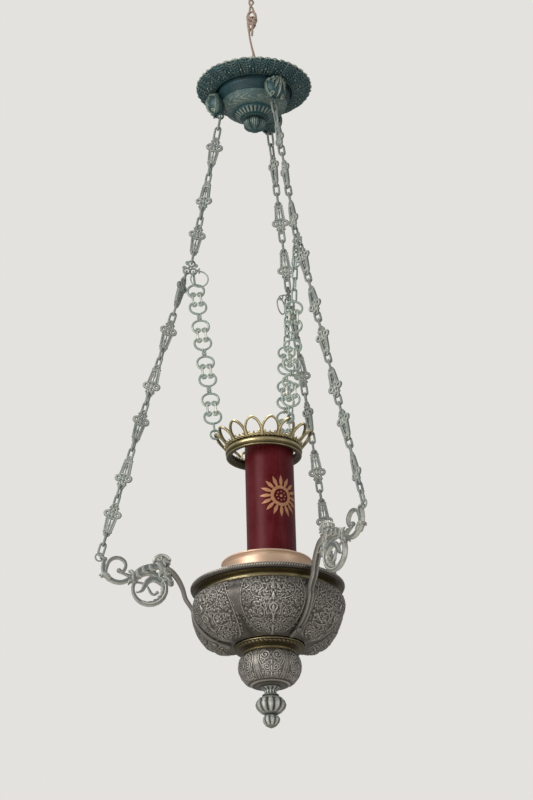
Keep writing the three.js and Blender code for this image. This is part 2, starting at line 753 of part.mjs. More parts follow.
function addBowl() {
  const rim = [
    [107.5, -5.2],
    [115.4, -5.2],
    [118.3, -0.6],
    [116.6, 2.8],
    [113.6, 2.6],
    [107.5, -1.6],
  ];
  addMesh("rim_ring", turnedRing(rim, 36), darkBowl);
  const band = [
    [98, -14.2],
    [103.6, -14.2],
    [103, -9.6],
    [114, -6.4],
    [106, -5.8],
    [99.5, -5.8],
  ];
  addMesh("cavetto_band", turnedRing(band, 32), agedBrass);

  const shell = [[rod.bore, -88.5], ...bodyInside, ...bodyOutside, [rod.bore, -91.5]];
  const lobed = toSolid(shapedRound(turnedRing(shell, bowl.lobes * 5).rotateZ(radians(arms.left)), lobeFactor));
  const bores = Object.values(arms).map((angle) => toSolid(alongScrew(screwBore, 10).rotateZ(radians(angle))));
  const body = bores.reduce((whole, bore) => whole.subtract(bore), lobed);
  addMesh("bowl_body", toGeometry(body), darkBowl);

  // The insert rests on the rim ring's inner ledge and carries the pan.
  const insert = [
    [0, 7.4],
    [68, 7.4],
    [80, -1],
    [98, -3.6],
    [104.8, -3.2],
    [110, 1.6],
    [108, 4.2],
    [97, -0.6],
    [82, 2.4],
    [70, 10.4],
    [0, 10.4],
  ];
  addMesh("bowl_insert", turned(insert, 28), agedBrass);
  addMesh("pan", turned(panProfile, 28), copper);
}

// The stack under the bowl, held by a threaded rod with its nut inside the bowl
function addFoot() {
  const { radius, bore, top, foot } = rod;
  const collar = [
    [bore, -91.9],
    [50, -91.9],
    [53, -94.4],
    [53, -98],
    [49, -100.4],
    [bore, -100.4],
  ];
  addMesh("beaded_collar", turnedRing(collar, 32), darkBowl);
  const neck = [
    [bore, -100.8],
    [45, -100.8],
    [38.5, -103.6],
    [41, -106.8],
    [bore, -106.8],
  ];
  addMesh("neck", turnedRing(neck, 28), agedBrass);
  const knop = [
    [bore, -107.2],
    [41, -107.2],
    [46.6, -115],
    [47.6, -132],
    [39, -148],
    [22, -156],
    [bore, -156.6],
  ];
  addMesh("lower_knop", turnedRing(knop, 28), darkBowl);
  const stem = [
    [bore, -157],
    [15, -157],
    [14, -159.6],
    [9, -162],
    [9, -166.6],
    [13, -169.6],
    [bore, -169.6],
  ];
  addMesh("fluted_stem", turnedRing(stem, 20), darkBowl);
  const melon = [
    [0, -178],
    [bore, -178],
    [bore, -170],
    [12, -170],
    [20, -175],
    [23, -184],
    [19, -193],
    [10, -198.2],
    [0, -199],
  ];
  const ribbed = (angle, distance) => (distance > 15 ? 1 + 0.05 * Math.cos(12 * angle) : 1);
  addMesh("melon_finial", shapedRound(turned(melon, 24), ribbed), darkBowl);
  const button = [
    [0, -199.4],
    [8, -199.4],
    [13, -206],
    [11, -213],
    [5, -218],
    [0, -220],
  ];
  addMesh("button", turned(button, 16), darkBowl);
  const shaft = [
    [0, top],
    [radius, top],
    [radius, foot],
    [0, foot],
  ];
  addMesh("centre_rod", turned(shaft, 12), ironGrey);
  const thread = (radius + fitGap) / Math.cos(Math.PI / 6);
  const nut = [
    [thread, -88.1],
    [11, -88.1],
    [11, -81],
    [thread, -81],
  ];
  addMesh("rod_nut", turnedRing(nut, 6), ironGrey);
}

// The strap's middle line lies in a valley of the bowl, a little off its metal.
function strapLine() {
  const valley = [...bodyOutside.slice(2, 7), [59, -90]].map(([radius, height]) => [
    radius * (1 - lobeDepth(height)),
    height,
  ]);
  const onBowl = valley.map(([radius, height], i) => {
    const [r1, h1] = valley[Math.max(0, i - 1)];
    const [r2, h2] = valley[Math.min(valley.length - 1, i + 1)];
    const length = Math.hypot(r2 - r1, h2 - h1);
    return [radius + (strap.lift * (h1 - h2)) / length, height - (strap.lift * (r1 - r2)) / length];
  });
  return [[151, 33], [137, 15.5], [127, -8], [122.5, -22], ...onBowl];
}

// A turned piece given as [radius, distance out of the strap's middle], set square to the strap
// where the screw goes through its lower end.
function alongScrew(profile, sides) {
  const line = strapLine();
  const [radius, height] = line[line.length - 2];
  const [r1, h1] = line[line.length - 3];
  const [r2, h2] = line[line.length - 1];
  const tilt = Math.atan2(h1 - h2, -(r1 - r2));
  return turned(profile, sides, 0).rotateY(tilt).translate(radius, 0, height + rimLevel);
}

const screwBore = [
  [0, -14],
  [2.5, -14],
  [2.5, 14],
  [0, 14],
];

function addStrap(side, group) {
  const flare = (t) => strap.thick + 2.5 * (1 - t) ** 6;
  const drilled = cut(bar(strapLine(), flare, strap.wide, 14), alongScrew(screwBore, 10));
  addMesh("strap_" + side, drilled, darkBowl, group);
  const screw = [
    [0, -8],
    [2, -8],
    [2, 2.4],
    [4.6, 2.4],
    [5.6, 4.4],
    [4.2, 7.2],
    [0, 8.4],
  ];
  addMesh("strap_screw_" + side, alongScrew(screw, 10), darkBowl, group);
}

// A scroll bracket in its arm's upright plane, with a loop at its tip for the chain's end ring
function addBracket(side, group) {
  const stem = [
    [247, 44],
    [250, 34],
    [248.5, 24],
    [239, 14],
    [226, 11],
    [212, 16],
    [203, 27],
    [192, 37],
    [176, 43],
    [163, 49],
    [150, 45],
  ];
  const curl = [
    [207, 21],
    [210, 36],
    [219, 47],
    [230, 50.5],
    [236.5, 44],
    [234, 36],
    [228, 34],
  ];
  const hook = [
    [157, 9],
    [164, 16],
    [173.5, 17],
    [182, 11],
    [186, 2],
    [182.4, -4.5],
    [175, -8.4],
  ];
  const wheel = [181, -0.5];
  const loop = wireRing(endRing.loopRadius, endRing.loopWire, endRing.loopRadius, 5, 8);
  const [ringRadius, ringHeight] = endRing.centre;
  const loopAt = towards(endRing.centre, [247, 48], endRing.radius);
  loop.rotateY(Math.atan2(ringHeight - loopAt[1], loopAt[0] - ringRadius));
  loop.translate(loopAt[0], 0, loopAt[1] + rimLevel);
  const knob = ([radius, height], size) =>
    new THREE.IcosahedronGeometry(size, 0).translate(radius, 0, height + rimLevel);
  const pieces = [
    bar(stem, (t) => 6.4 + 1.8 * Math.sin(Math.PI * t), bracketThick, 14),
    bar(curl, (t) => 5 - t, bracketThick - 2, 8),
    bar(hook, (t) => 5.5 - t, bracketThick - 2, 10),
    bar([[217, 12], [199, 17]], 6, bracketThick, 1),
    bar([[160, 10], [132, 16]], 7, bracketThick - 1, 1),
    upright(polygon(wheel, 29, 18), bracketThick, [polygon(wheel, 21, 14)]),
    knob([227.5, 33], 4.4),
    knob([175.5, -8], 4),
    knob([161.5, 50.5], 6),
    loop,
  ];
  const room = bar(strapLine(), strap.thick + 2.5 + 2 * fitGap, strap.wide + 2 * fitGap, 14);
  const solid = toSolid(joined(pieces)).subtract(toSolid(room));
  const bodies = solid.decompose().sort((a, b) => b.volume() - a.volume());
  addMesh("bracket_" + side, toGeometry(bodies[0]), darkBowl, group);
}

addCeilingGear();
addRope();
addSwivel();
addCanopy();
addCrown();
addCandle();
addBowl();
addFoot();
for (const side of Object.keys(arms)) {
  const group = armGroup(side);
  addLug(side, group);
  addMainChain(side, group);
  addJunction(side, group);
  addCrownChain(side, group);
  addStrap(side, group);
  addBracket(side, group);
}

export default lamp;
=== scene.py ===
import math

import bpy
import numpy as np
from mathutils import Matrix


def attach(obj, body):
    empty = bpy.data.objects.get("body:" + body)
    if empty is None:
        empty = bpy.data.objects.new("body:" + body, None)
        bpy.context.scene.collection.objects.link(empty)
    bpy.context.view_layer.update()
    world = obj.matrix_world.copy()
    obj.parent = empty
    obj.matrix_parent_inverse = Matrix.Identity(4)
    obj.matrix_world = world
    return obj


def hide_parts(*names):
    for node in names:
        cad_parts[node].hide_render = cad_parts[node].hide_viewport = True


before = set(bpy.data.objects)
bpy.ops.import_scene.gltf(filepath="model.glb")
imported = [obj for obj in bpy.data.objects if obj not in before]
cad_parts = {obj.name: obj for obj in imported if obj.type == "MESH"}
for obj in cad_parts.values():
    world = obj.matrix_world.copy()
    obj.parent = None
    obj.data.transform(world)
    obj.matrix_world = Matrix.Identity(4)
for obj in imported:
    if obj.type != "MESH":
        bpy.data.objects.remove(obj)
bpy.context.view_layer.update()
print("stage: frame loaded")

# Lengths below are millimetres above the bowl's rim, unless a note says metres.
rimLevel = -1140  # the rim's height under the ceiling
mmPerMetre = 1000
arms = {"left": 184, "right": 304, "back": 64}  # azimuth of each chain in degrees
evenTone = 0.5  # relief value of plain metal, 0 in a groove with painted shade, 1 on a worn crest with a painted highlight
chance = np.random.default_rng(11)
tiny = 1e-9  # less than this counts as nothing
noFaces = np.zeros((0, 3), int)


# Camera at the photograph's place, under the lamp and looking up
cameraFit = {
    "place": (0, -3.373, -2.3165),  # metres
    "pitch": 23.86,
    "yaw": 0.11,
    "roll": 1.64,
    "lens": 104.86,
    "sensorWidth": 36,
    "clipEnd": 50,  # metres
}


def makeCamera(fit):
    pitch, yaw, roll = (math.radians(fit[key]) for key in ("pitch", "yaw", "roll"))
    forward = np.array([math.sin(yaw) * math.cos(pitch), math.cos(yaw) * math.cos(pitch), math.sin(pitch)])
    levelRight = np.array([math.cos(yaw), -math.sin(yaw), 0])
    levelUp = np.cross(levelRight, forward)
    right = math.cos(roll) * levelRight - math.sin(roll) * levelUp
    up = math.sin(roll) * levelRight + math.cos(roll) * levelUp
    data = bpy.data.cameras.new("photoCamera")
    data.lens = fit["lens"]
    data.sensor_width = fit["sensorWidth"]
    data.clip_end = fit["clipEnd"]
    camera = bpy.data.objects.new("photoCamera", data)
    bpy.context.scene.collection.objects.link(camera)
    placeAndTurn = np.eye(4)
    placeAndTurn[:3, 0] = right
    placeAndTurn[:3, 1] = up
    placeAndTurn[:3, 2] = -forward
    placeAndTurn[:3, 3] = fit["place"]
    camera.matrix_world = Matrix(placeAndTurn)
    bpy.context.scene.camera = camera


makeCamera(cameraFit)


# Shapes are three arrays: points with x, y, height and relief tone, four-sided faces, and triangles.
def gridFaces(rows, columns, wrapRows=False):
    first = np.arange(rows if wrapRows else rows - 1)[:, None] * columns
    second = (first + columns) % (rows * columns)
    here = np.arange(columns)[None, :]
    after = (here + 1) % columns
    corners = [first + here, first + after, second + after, second + here]
    return np.stack(corners, axis=-1).reshape(-1, 4)


def joinShapes(shapes):
    points, quads, triangles, count = [], [], [], 0
    for shapePoints, shapeQuads, shapeTriangles in shapes:
        points.append(shapePoints)
        quads.append(shapeQuads + count)
        triangles.append(shapeTriangles + count)
        count += len(shapePoints)
    return np.concatenate(points), np.concatenate(quads), np.concatenate(triangles)


# Turns the points by a 3x3 matrix whose rows are the new axes, then moves them
def moved(shape, axes=None, offset=(0, 0, 0)):
    points = shape[0].copy()
    if axes is not None:
        points[:, :3] = points[:, :3] @ np.asarray(axes, float)
    points[:, :3] += np.asarray(offset, float)
    return points, shape[1], shape[2]


def turnedBy(shape, degrees):
    c, s = math.cos(math.radians(degrees)), math.sin(math.radians(degrees))
    return moved(shape, [[c, s, 0], [-s, c, 0], [0, 0, 1]])


# Triangles from the first and the last ring of a grid to the two points listed after it
def endFans(rings, sides):
    here = np.arange(sides)
    after = (here + 1) % sides
    last = (rings - 1) * sides
    return np.vstack([
        np.stack([np.full(sides, rings * sides), after, here], axis=-1),
        np.stack([np.full(sides, rings * sides + 1), last + here, last + after], axis=-1),
    ])


# A line through points at an even step, with its corners softened
def rounded(points, step, passes=2, closed=False):
    points = np.asarray(points, float)
    if closed:
        points = np.vstack([points, points[:1]])
    along = np.concatenate([[0], np.cumsum(np.linalg.norm(np.diff(points, axis=0), axis=1))])
    at = np.linspace(0, along[-1], max(6, round(along[-1] / step)) + 1)
    line = np.column_stack([np.interp(at, along, column) for column in points.T])
    if closed:
        line = line[:-1]
    for _ in range(passes):
        if closed:
            line = (np.roll(line, 1, 0) + 2 * line + np.roll(line, -1, 0)) / 4
        else:
            line[1:-1] = (line[:-2] + 2 * line[1:-1] + line[2:]) / 4
    return line


# A smooth curve through every point
def curved(points, steps=8, closed=False):
    points = np.asarray(points, float)
    if closed:
        ends = np.vstack([points[-1:], points, points[:2]])
    else:
        ends = np.vstack([2 * points[0] - points[1], points, 2 * points[-1] - points[-2]])
    t = (np.arange(steps) / steps)[:, None]
    stretches = [
        0.5 * (2 * b + (c - a) * t + (2 * a - 5 * b + 4 * c - d) * t**2 + (3 * b - a - 3 * c + d) * t**3)
        for a, b, c, d in zip(ends[:-3], ends[1:-2], ends[2:-1], ends[3:])
    ]
    if not closed:
        stretches.append(points[-1:])
    return np.vstack(stretches)


# A piece turned on the lamp's axis from an outline of (radius, height). relief gives how far the
# surface stands out and its tone, from the angle, the share of the outline, the radius and the height.
def turned(line, sides, relief=None):
    line = np.asarray(line, float)
    following = np.roll(line, -1, 0)
    if (line[:, 0] * following[:, 1] - following[:, 0] * line[:, 1]).sum() < 0:
        line = line[::-1]
    onAxis = line[0, 0] < tiny and line[-1, 0] < tiny
    step = np.gradient(line, axis=0) if onAxis else np.roll(line, -1, 0) - np.roll(line, 1, 0)
    step /= np.maximum(np.linalg.norm(step, axis=1, keepdims=True), tiny)
    angle = np.arange(sides) / sides * 2 * math.pi
    radius = np.repeat(line[:, :1], sides, 1)
    height = np.repeat(line[:, 1:], sides, 1)
    tone = np.full(radius.shape, evenTone)
    if relief is not None:
        share = np.repeat(np.linspace(0, 1, len(line))[:, None], sides, 1)
        out, tone = relief(np.repeat(angle[None, :], len(line), 0), share, radius, height)
        out = np.where(radius > tiny, out, 0)
        radius = radius + out * step[:, 1:]
        height = height - out * step[:, :1]
        tone = np.broadcast_to(tone, radius.shape)
    points = np.stack([radius * np.cos(angle), radius * np.sin(angle), height, tone], axis=-1)
    if not onAxis:
        return points.reshape(-1, 4), gridFaces(len(line), sides, True), noFaces
    rows = len(line) - 2
    body = points[1:-1].reshape(-1, 4)
    ends = np.array([[0, 0, line[0, 1], evenTone], [0, 0, line[-1, 1], evenTone]])
    return np.vstack([body, ends]), gridFaces(rows, sides), endFans(rows, sides)


def ball(centre, radii, sides=14):
    angle = np.linspace(-math.pi / 2, math.pi / 2, sides // 2 + 2)
    arc = np.column_stack([np.maximum(np.cos(angle), 0), np.sin(angle)])
    arc[0, 0] = arc[-1, 0] = 0
    shape = turned(arc, sides)
    return moved(shape, np.diag(np.broadcast_to(np.asarray(radii, float), 3)), centre)


def roundSection(sides=10, across=1.0, deep=1.0):
    angle = np.arange(sides) / sides * 2 * math.pi
    return np.column_stack([across * np.cos(angle), deep * np.sin(angle)])


# Cast strip with raised edges and a hollow along each face: half width 1, half thickness 1
castSection = np.array([
    (1, -0.5), (1, 0.5), (0.86, 0.9), (0.62, 1), (0.36, 0.8), (0, 0.66), (-0.36, 0.8), (-0.62, 1),
    (-0.86, 0.9), (-1, 0.5), (-1, -0.5), (-0.86, -0.9), (-0.62, -1), (-0.36, -0.8), (0, -0.66), (0.36, -0.8),
    (0.62, -1), (0.86, -0.9),
])
# Tones: pale on the raised edges, worn and with a painted highlight, and dark in each hollow, with painted
# shade
castTone = np.array([0.5, 0.5, 0.8, 1, 0.5, 0.15, 0.5, 1, 0.8, 0.5, 0.5, 0.8, 1, 0.5, 0.15, 0.5, 1, 0.8])

endBends = np.radians([75, 45, 20])  # where a swept end's three closing rings stand on its round
tipProud = 0.02  # mm that the end's middle point stands past them


# Sweeps a section along a line. size gives each place's half width and half thickness, and flat is
# the direction the section's thickness keeps, or None for a line that bends every way.
def swept(path, section, size=1, flat=None, closed=False, tone=None, twist=None):
    path = np.asarray(path, float)
    count = len(path)
    if isinstance(size, np.ndarray) and size.ndim == 1:
        size = size[:, None]
    size = np.broadcast_to(size, (count, 2)).astype(float)
    along = np.roll(path, -1, 0) - np.roll(path, 1, 0) if closed else np.gradient(path, axis=0)
    along /= np.linalg.norm(along, axis=1, keepdims=True)
    if flat is not None:
        deep = np.broadcast_to(np.asarray(flat, float), path.shape)
    else:
        start = np.array([0, 0, 1.0]) if abs(along[0, 2]) < 0.9 else np.array([0, 1.0, 0])
        rows = []
        for direction in along:
            start = start - direction * (start @ direction)
            start = start / np.linalg.norm(start)
            rows.append(start)
        deep = np.array(rows)
    across = np.cross(deep, along)
    across /= np.linalg.norm(across, axis=1, keepdims=True)
    deep = np.cross(along, across)
    tone = np.full(len(section), evenTone) if tone is None else np.asarray(tone, float)
    if not closed:  # a rounded end
        reach = np.minimum(size[:, 0], size[:, 1])
        before = [path[0] - along[0] * reach[0] * math.sin(b) for b in endBends]
        after = [path[-1] + along[-1] * reach[-1] * math.sin(b) for b in endBends[::-1]]
        path = np.vstack([before, path, after])
        firstSizes = [size[0] * math.cos(b) for b in endBends]
        lastSizes = [size[-1] * math.cos(b) for b in endBends[::-1]]
        size = np.vstack([firstSizes, size, lastSizes])
        rings = np.clip(np.arange(-len(endBends), count + len(endBends)), 0, count - 1)
        across, deep = across[rings], deep[rings]
        twist = None if twist is None else twist[rings]
    shape = np.broadcast_to(section, (len(path), len(section), 2))
    if twist is not None:
        c, s = np.cos(twist)[:, None], np.sin(twist)[:, None]
        shape = np.stack(
            [shape[..., 0] * c - shape[..., 1] * s, shape[..., 0] * s + shape[..., 1] * c], axis=-1,
        )
    points = (
        path[:, None, :]
        + across[:, None, :] * shape[..., :1] * size[:, None, :1]
        + deep[:, None, :] * shape[..., 1:] * size[:, None, 1:]
    )
    tones = np.broadcast_to(tone, points.shape[:2])
    points = np.concatenate([points, tones[..., None]], axis=-1).reshape(-1, 4)
    sides = len(section)
    quads = gridFaces(len(path), sides, closed)
    if closed:
        return points, quads, noFaces
    ends = np.column_stack([path[[0, -1]], [evenTone, evenTone]])
    ends[0, :3] -= along[0] * tipProud
    ends[1, :3] += along[-1] * tipProud
    return np.vstack([points, ends]), quads, endFans(len(path), sides)


# A round strip along a line, of one tone
def roundStrip(points, sides, size, flat=None, tone=evenTone):
    return swept(points, roundSection(sides), size, flat, tone=np.full(sides, tone))


# Lines drawn in local (x, y) become 3-D with z = lift
def inPlane(points, lift=0.0):
    points = np.asarray(points, float)
    return np.column_stack([points, np.full(len(points), lift)])


def circleLine(centre, radius, count=24, start=0.0, end=360.0):
    angle = np.radians(np.linspace(start, end, count, endpoint=abs(end - start) < 359))
    return np.column_stack([centre[0] + radius * np.cos(angle), centre[1] + radius * np.sin(angle)])


def wireRing(centre, radius, wire, count=28, sides=10):
    line = inPlane(circleLine(centre, radius, count))
    return swept(line, roundSection(sides), wire, (0, 0, 1), True)


# An oval of round wire in local XY, long in Y
def wireOval(radius, wire, half, count=28, sides=9):
    line = circleLine((0, 0), radius, count)
    line[:, 1] += np.sign(np.round(line[:, 1], 6)) * (half - radius)
    return swept(inPlane(line), roundSection(sides), wire, (0, 0, 1), True)


# Spiral that winds inwards from a start angle, for scrolls
def spiralLine(centre, outer, inner, start, turns, count=26):
    share = np.linspace(0, 1, count)
    angle = np.radians(start) + share * turns * 2 * math.pi
    radius = outer + (inner - outer) * share**0.8
    return np.column_stack([centre[0] + radius * np.cos(angle), centre[1] + radius * np.sin(angle)])


def taper(count, first, last, swell=0.0):
    share = np.linspace(0, 1, count)
    return first + (last - first) * share + swell * np.sin(math.pi * share)


# Local XY to an arm's upright plane, Y along the chain, twisted about it
def placed(shape, middle, along, twist=0.0):
    up = np.array([along[0], 0, along[1]], float)
    up /= np.linalg.norm(up)
    side = np.array([up[2], 0, -up[0]])
    front = np.cross(side, up)
    c, s = math.cos(math.radians(twist)), math.sin(math.radians(twist))
    return moved(shape, [c * side - s * front, up, s * side + c * front], (middle[0], 0, middle[1]))


# Axes for a shape drawn flat: upright in an arm's plane, with X its radius and Y its height, or square to it
inArmPlane = [[1, 0, 0], [0, 0, 1], [0, -1, 0]]
acrossArm = [[0, 1, 0], [0, 0, 1], [1, 0, 0]]


def uprightShape(shape):
    return moved(shape, inArmPlane)


def towards(start, end, distance):
    start, end = np.asarray(start, float), np.asarray(end, float)
    return start + (end - start) * distance / np.linalg.norm(end - start)


# A height field drawn with strokes: each is a line, its half widths and its height. One below zero wipes what
# was drawn there before.
def strokeField(wide, tall, pitch, strokes):
    columns, rows = int(wide / pitch) + 1, int(tall / pitch) + 1
    field = np.zeros((rows, columns))
    for line, halfWidths, height in strokes:
        line = rounded(line, pitch * 1.5, 0)
        widths = np.interp(np.linspace(0, 1, len(line)), np.linspace(0, 1, len(halfWidths)), halfWidths)
        for (x, y), half in zip(line, widths):
            left, right = int((x - half) / pitch), int((x + half) / pitch) + 2
            low, high = int((y - half) / pitch), int((y + half) / pitch) + 2
            left, low = max(left, 0), max(low, 0)
            right, high = min(right, columns), min(high, rows)
            if left >= right or low >= high:
                continue
            gridX = np.arange(left, right) * pitch - x
            gridY = np.arange(low, high)[:, None] * pitch - y
            near = np.clip(1 - (gridX**2 + gridY**2) / half**2, 0, None)
            under = field[low:high, left:right]
            drawn = under * (near == 0) if height < 0 else np.maximum(under, height * np.sqrt(near))
            field[low:high, left:right] = drawn
    return field


def readField(field, x, y, pitch):
    column = np.clip(x / pitch, 0, field.shape[1] - 1.001)
    row = np.clip(y / pitch, 0, field.shape[0] - 1.001)
    c0, r0 = column.astype(int), row.astype(int)
    cx, ry = column - c0, row - r0
    upper = field[r0, c0] * (1 - cx) + field[r0, c0 + 1] * cx
    lower = field[r0 + 1, c0] * (1 - cx) + field[r0 + 1, c0 + 1] * cx
    return upper * (1 - ry) + lower * ry


# How far a drawn field stands above (pale, a painted highlight) or below (dark, painted shade) what is round
# it
def creased(field, passes):
    soft = field
    for _ in range(passes):
        beside = np.roll(soft, 1, 0) + np.roll(soft, -1, 0) + np.roll(soft, 1, 1) + np.roll(soft, -1, 1)
        soft = (beside + 2 * soft) / 6
    return field - soft


def linear(colour):
    channels = [int(colour[i:i + 2], 16) / 255 for i in (1, 3, 5)]
    return [c / 12.92 if c <= 0.04045 else ((c + 0.055) / 1.055) ** 2.4 for c in channels] + [1]


# Adds a node with its settings, given by input or property name, and its links
def addNode(tree, kind, settings=None, links=None):
    node = tree.nodes.new(kind)
    for name, value in (settings or {}).items():
        if name in node.inputs.keys():
            node.inputs[name].default_value = value
        elif name.isdigit():
            node.inputs[int(name)].default_value = value
        else:
            setattr(node, name, value)
    for name, source in (links or {}).items():
        tree.links.new(source, node.inputs[int(name) if name.isdigit() else name])
    return node


def newMaterial(name):
    material = bpy.data.materials.new(name)
    material.use_nodes = True
    tree = material.node_tree
    shader = tree.nodes["Principled BSDF"]
    place = addNode(tree, "ShaderNodeTexCoord").outputs["Object"]
    return material, tree, shader, place


def setRamp(node, stops):
    ramp = node.color_ramp
    ramp.elements[0].position, ramp.elements[0].color = stops[0][0], stops[0][1]
    ramp.elements[1].position, ramp.elements[1].color = stops[-1][0], stops[-1][1]
    for position, colour in stops[1:-1]:
        ramp.elements.new(position).color = colour


bumpDivisor = 4000  # a bump stands a quarter of its grain's size, in metres


# Clouds or grains of one size in mm
def noise(tree, place, size, detail, roughness):
    settings = {"Scale": mmPerMetre / size, "Detail": detail, "Roughness": roughness}
    return addNode(tree, "ShaderNodeTexNoise", settings, {"Vector": place}).outputs["Fac"]


# One colour over another by a share; what is under is a colour too, or a node's output
def blended(tree, share, under, over):
    settings, links = {"data_type": "RGBA", "7": linear(over)}, {"0": share}
    if isinstance(under, str):
        settings["6"] = linear(under)
    else:
        links["6"] = under
    return addNode(tree, "ShaderNodeMix", settings, links).outputs[2]


def ranged(tree, value, settings):
    return addNode(tree, "ShaderNodeMapRange", settings, {"Value": value}).outputs[0]


def calculated(tree, settings, links):
    return addNode(tree, "ShaderNodeMath", settings, links).outputs[0]


def reliefOf(tree):
    return addNode(tree, "ShaderNodeAttribute", {"attribute_name": "relief"}).outputs["Fac"]


# Links what a shader's inputs take from nodes, with a bump from a height
def finishShader(tree, shader, links, height, strength, distance):
    for name, source in links.items():
        tree.links.new(source, shader.inputs[name])
    bump = addNode(tree, "ShaderNodeBump", {"Strength": strength, "Distance": distance}, {"Height": height})
    tree.links.new(bump.outputs[0], shader.inputs["Normal"])


# Cast or spun copper alloy with its patina: dark in the grooves with patina and painted shade, plain between,
# and pale on the crests, worn and with a painted highlight, with cloudy patches and fine pits
def agedMetal(name, look):
    material, tree, shader, place = newMaterial(name)
    clouds = noise(tree, place, look["cloudSize"], 5, 0.65)
    grain = noise(tree, place, look["grainSize"], 4, 0.7)
    pits = addNode(tree, "ShaderNodeTexVoronoi", {"Scale": mmPerMetre / look["pitSize"]}, {"Vector": place})
    tone = look["grainTone"]
    wobble = calculated(tree, {"operation": "MULTIPLY_ADD", "1": tone, "2": -tone / 2}, {"0": grain})
    level = calculated(tree, {"operation": "ADD", "use_clamp": True}, {"0": reliefOf(tree), "1": wobble})
    metal = addNode(tree, "ShaderNodeValToRGB", links={"Fac": level})
    setRamp(
        metal, [(0.12, linear(look["groove"])), (0.5, linear(look["plain"])), (0.86, linear(look["crest"]))],
    )
    start = look["cloudFrom"]
    cloudy = {"From Min": start, "From Max": start + 0.22, "To Max": look["cloudShare"]}
    patina = blended(tree, ranged(tree, clouds, cloudy), metal.outputs[0], look["patina"])
    pointed = addNode(tree, "ShaderNodeNewGeometry").outputs["Pointiness"]
    edges = ranged(tree, pointed, {"From Min": 0.515, "From Max": 0.6, "To Max": look["edgeShare"]})
    worn = blended(tree, edges, patina, look["crest"])
    smooth, dull = look["rough"]
    rough = ranged(tree, clouds, {"To Min": smooth, "To Max": dull})
    shader.inputs["Metallic"].default_value = look["metallic"]
    surface = calculated(
        tree, {"operation": "MULTIPLY_ADD", "1": 0.4}, {"0": pits.outputs["Distance"], "2": grain},
    )
    links = {"Base Color": worn, "Roughness": rough}
    finishShader(tree, shader, links, surface, look["bump"], look["grainSize"] / bumpDivisor)
    return material


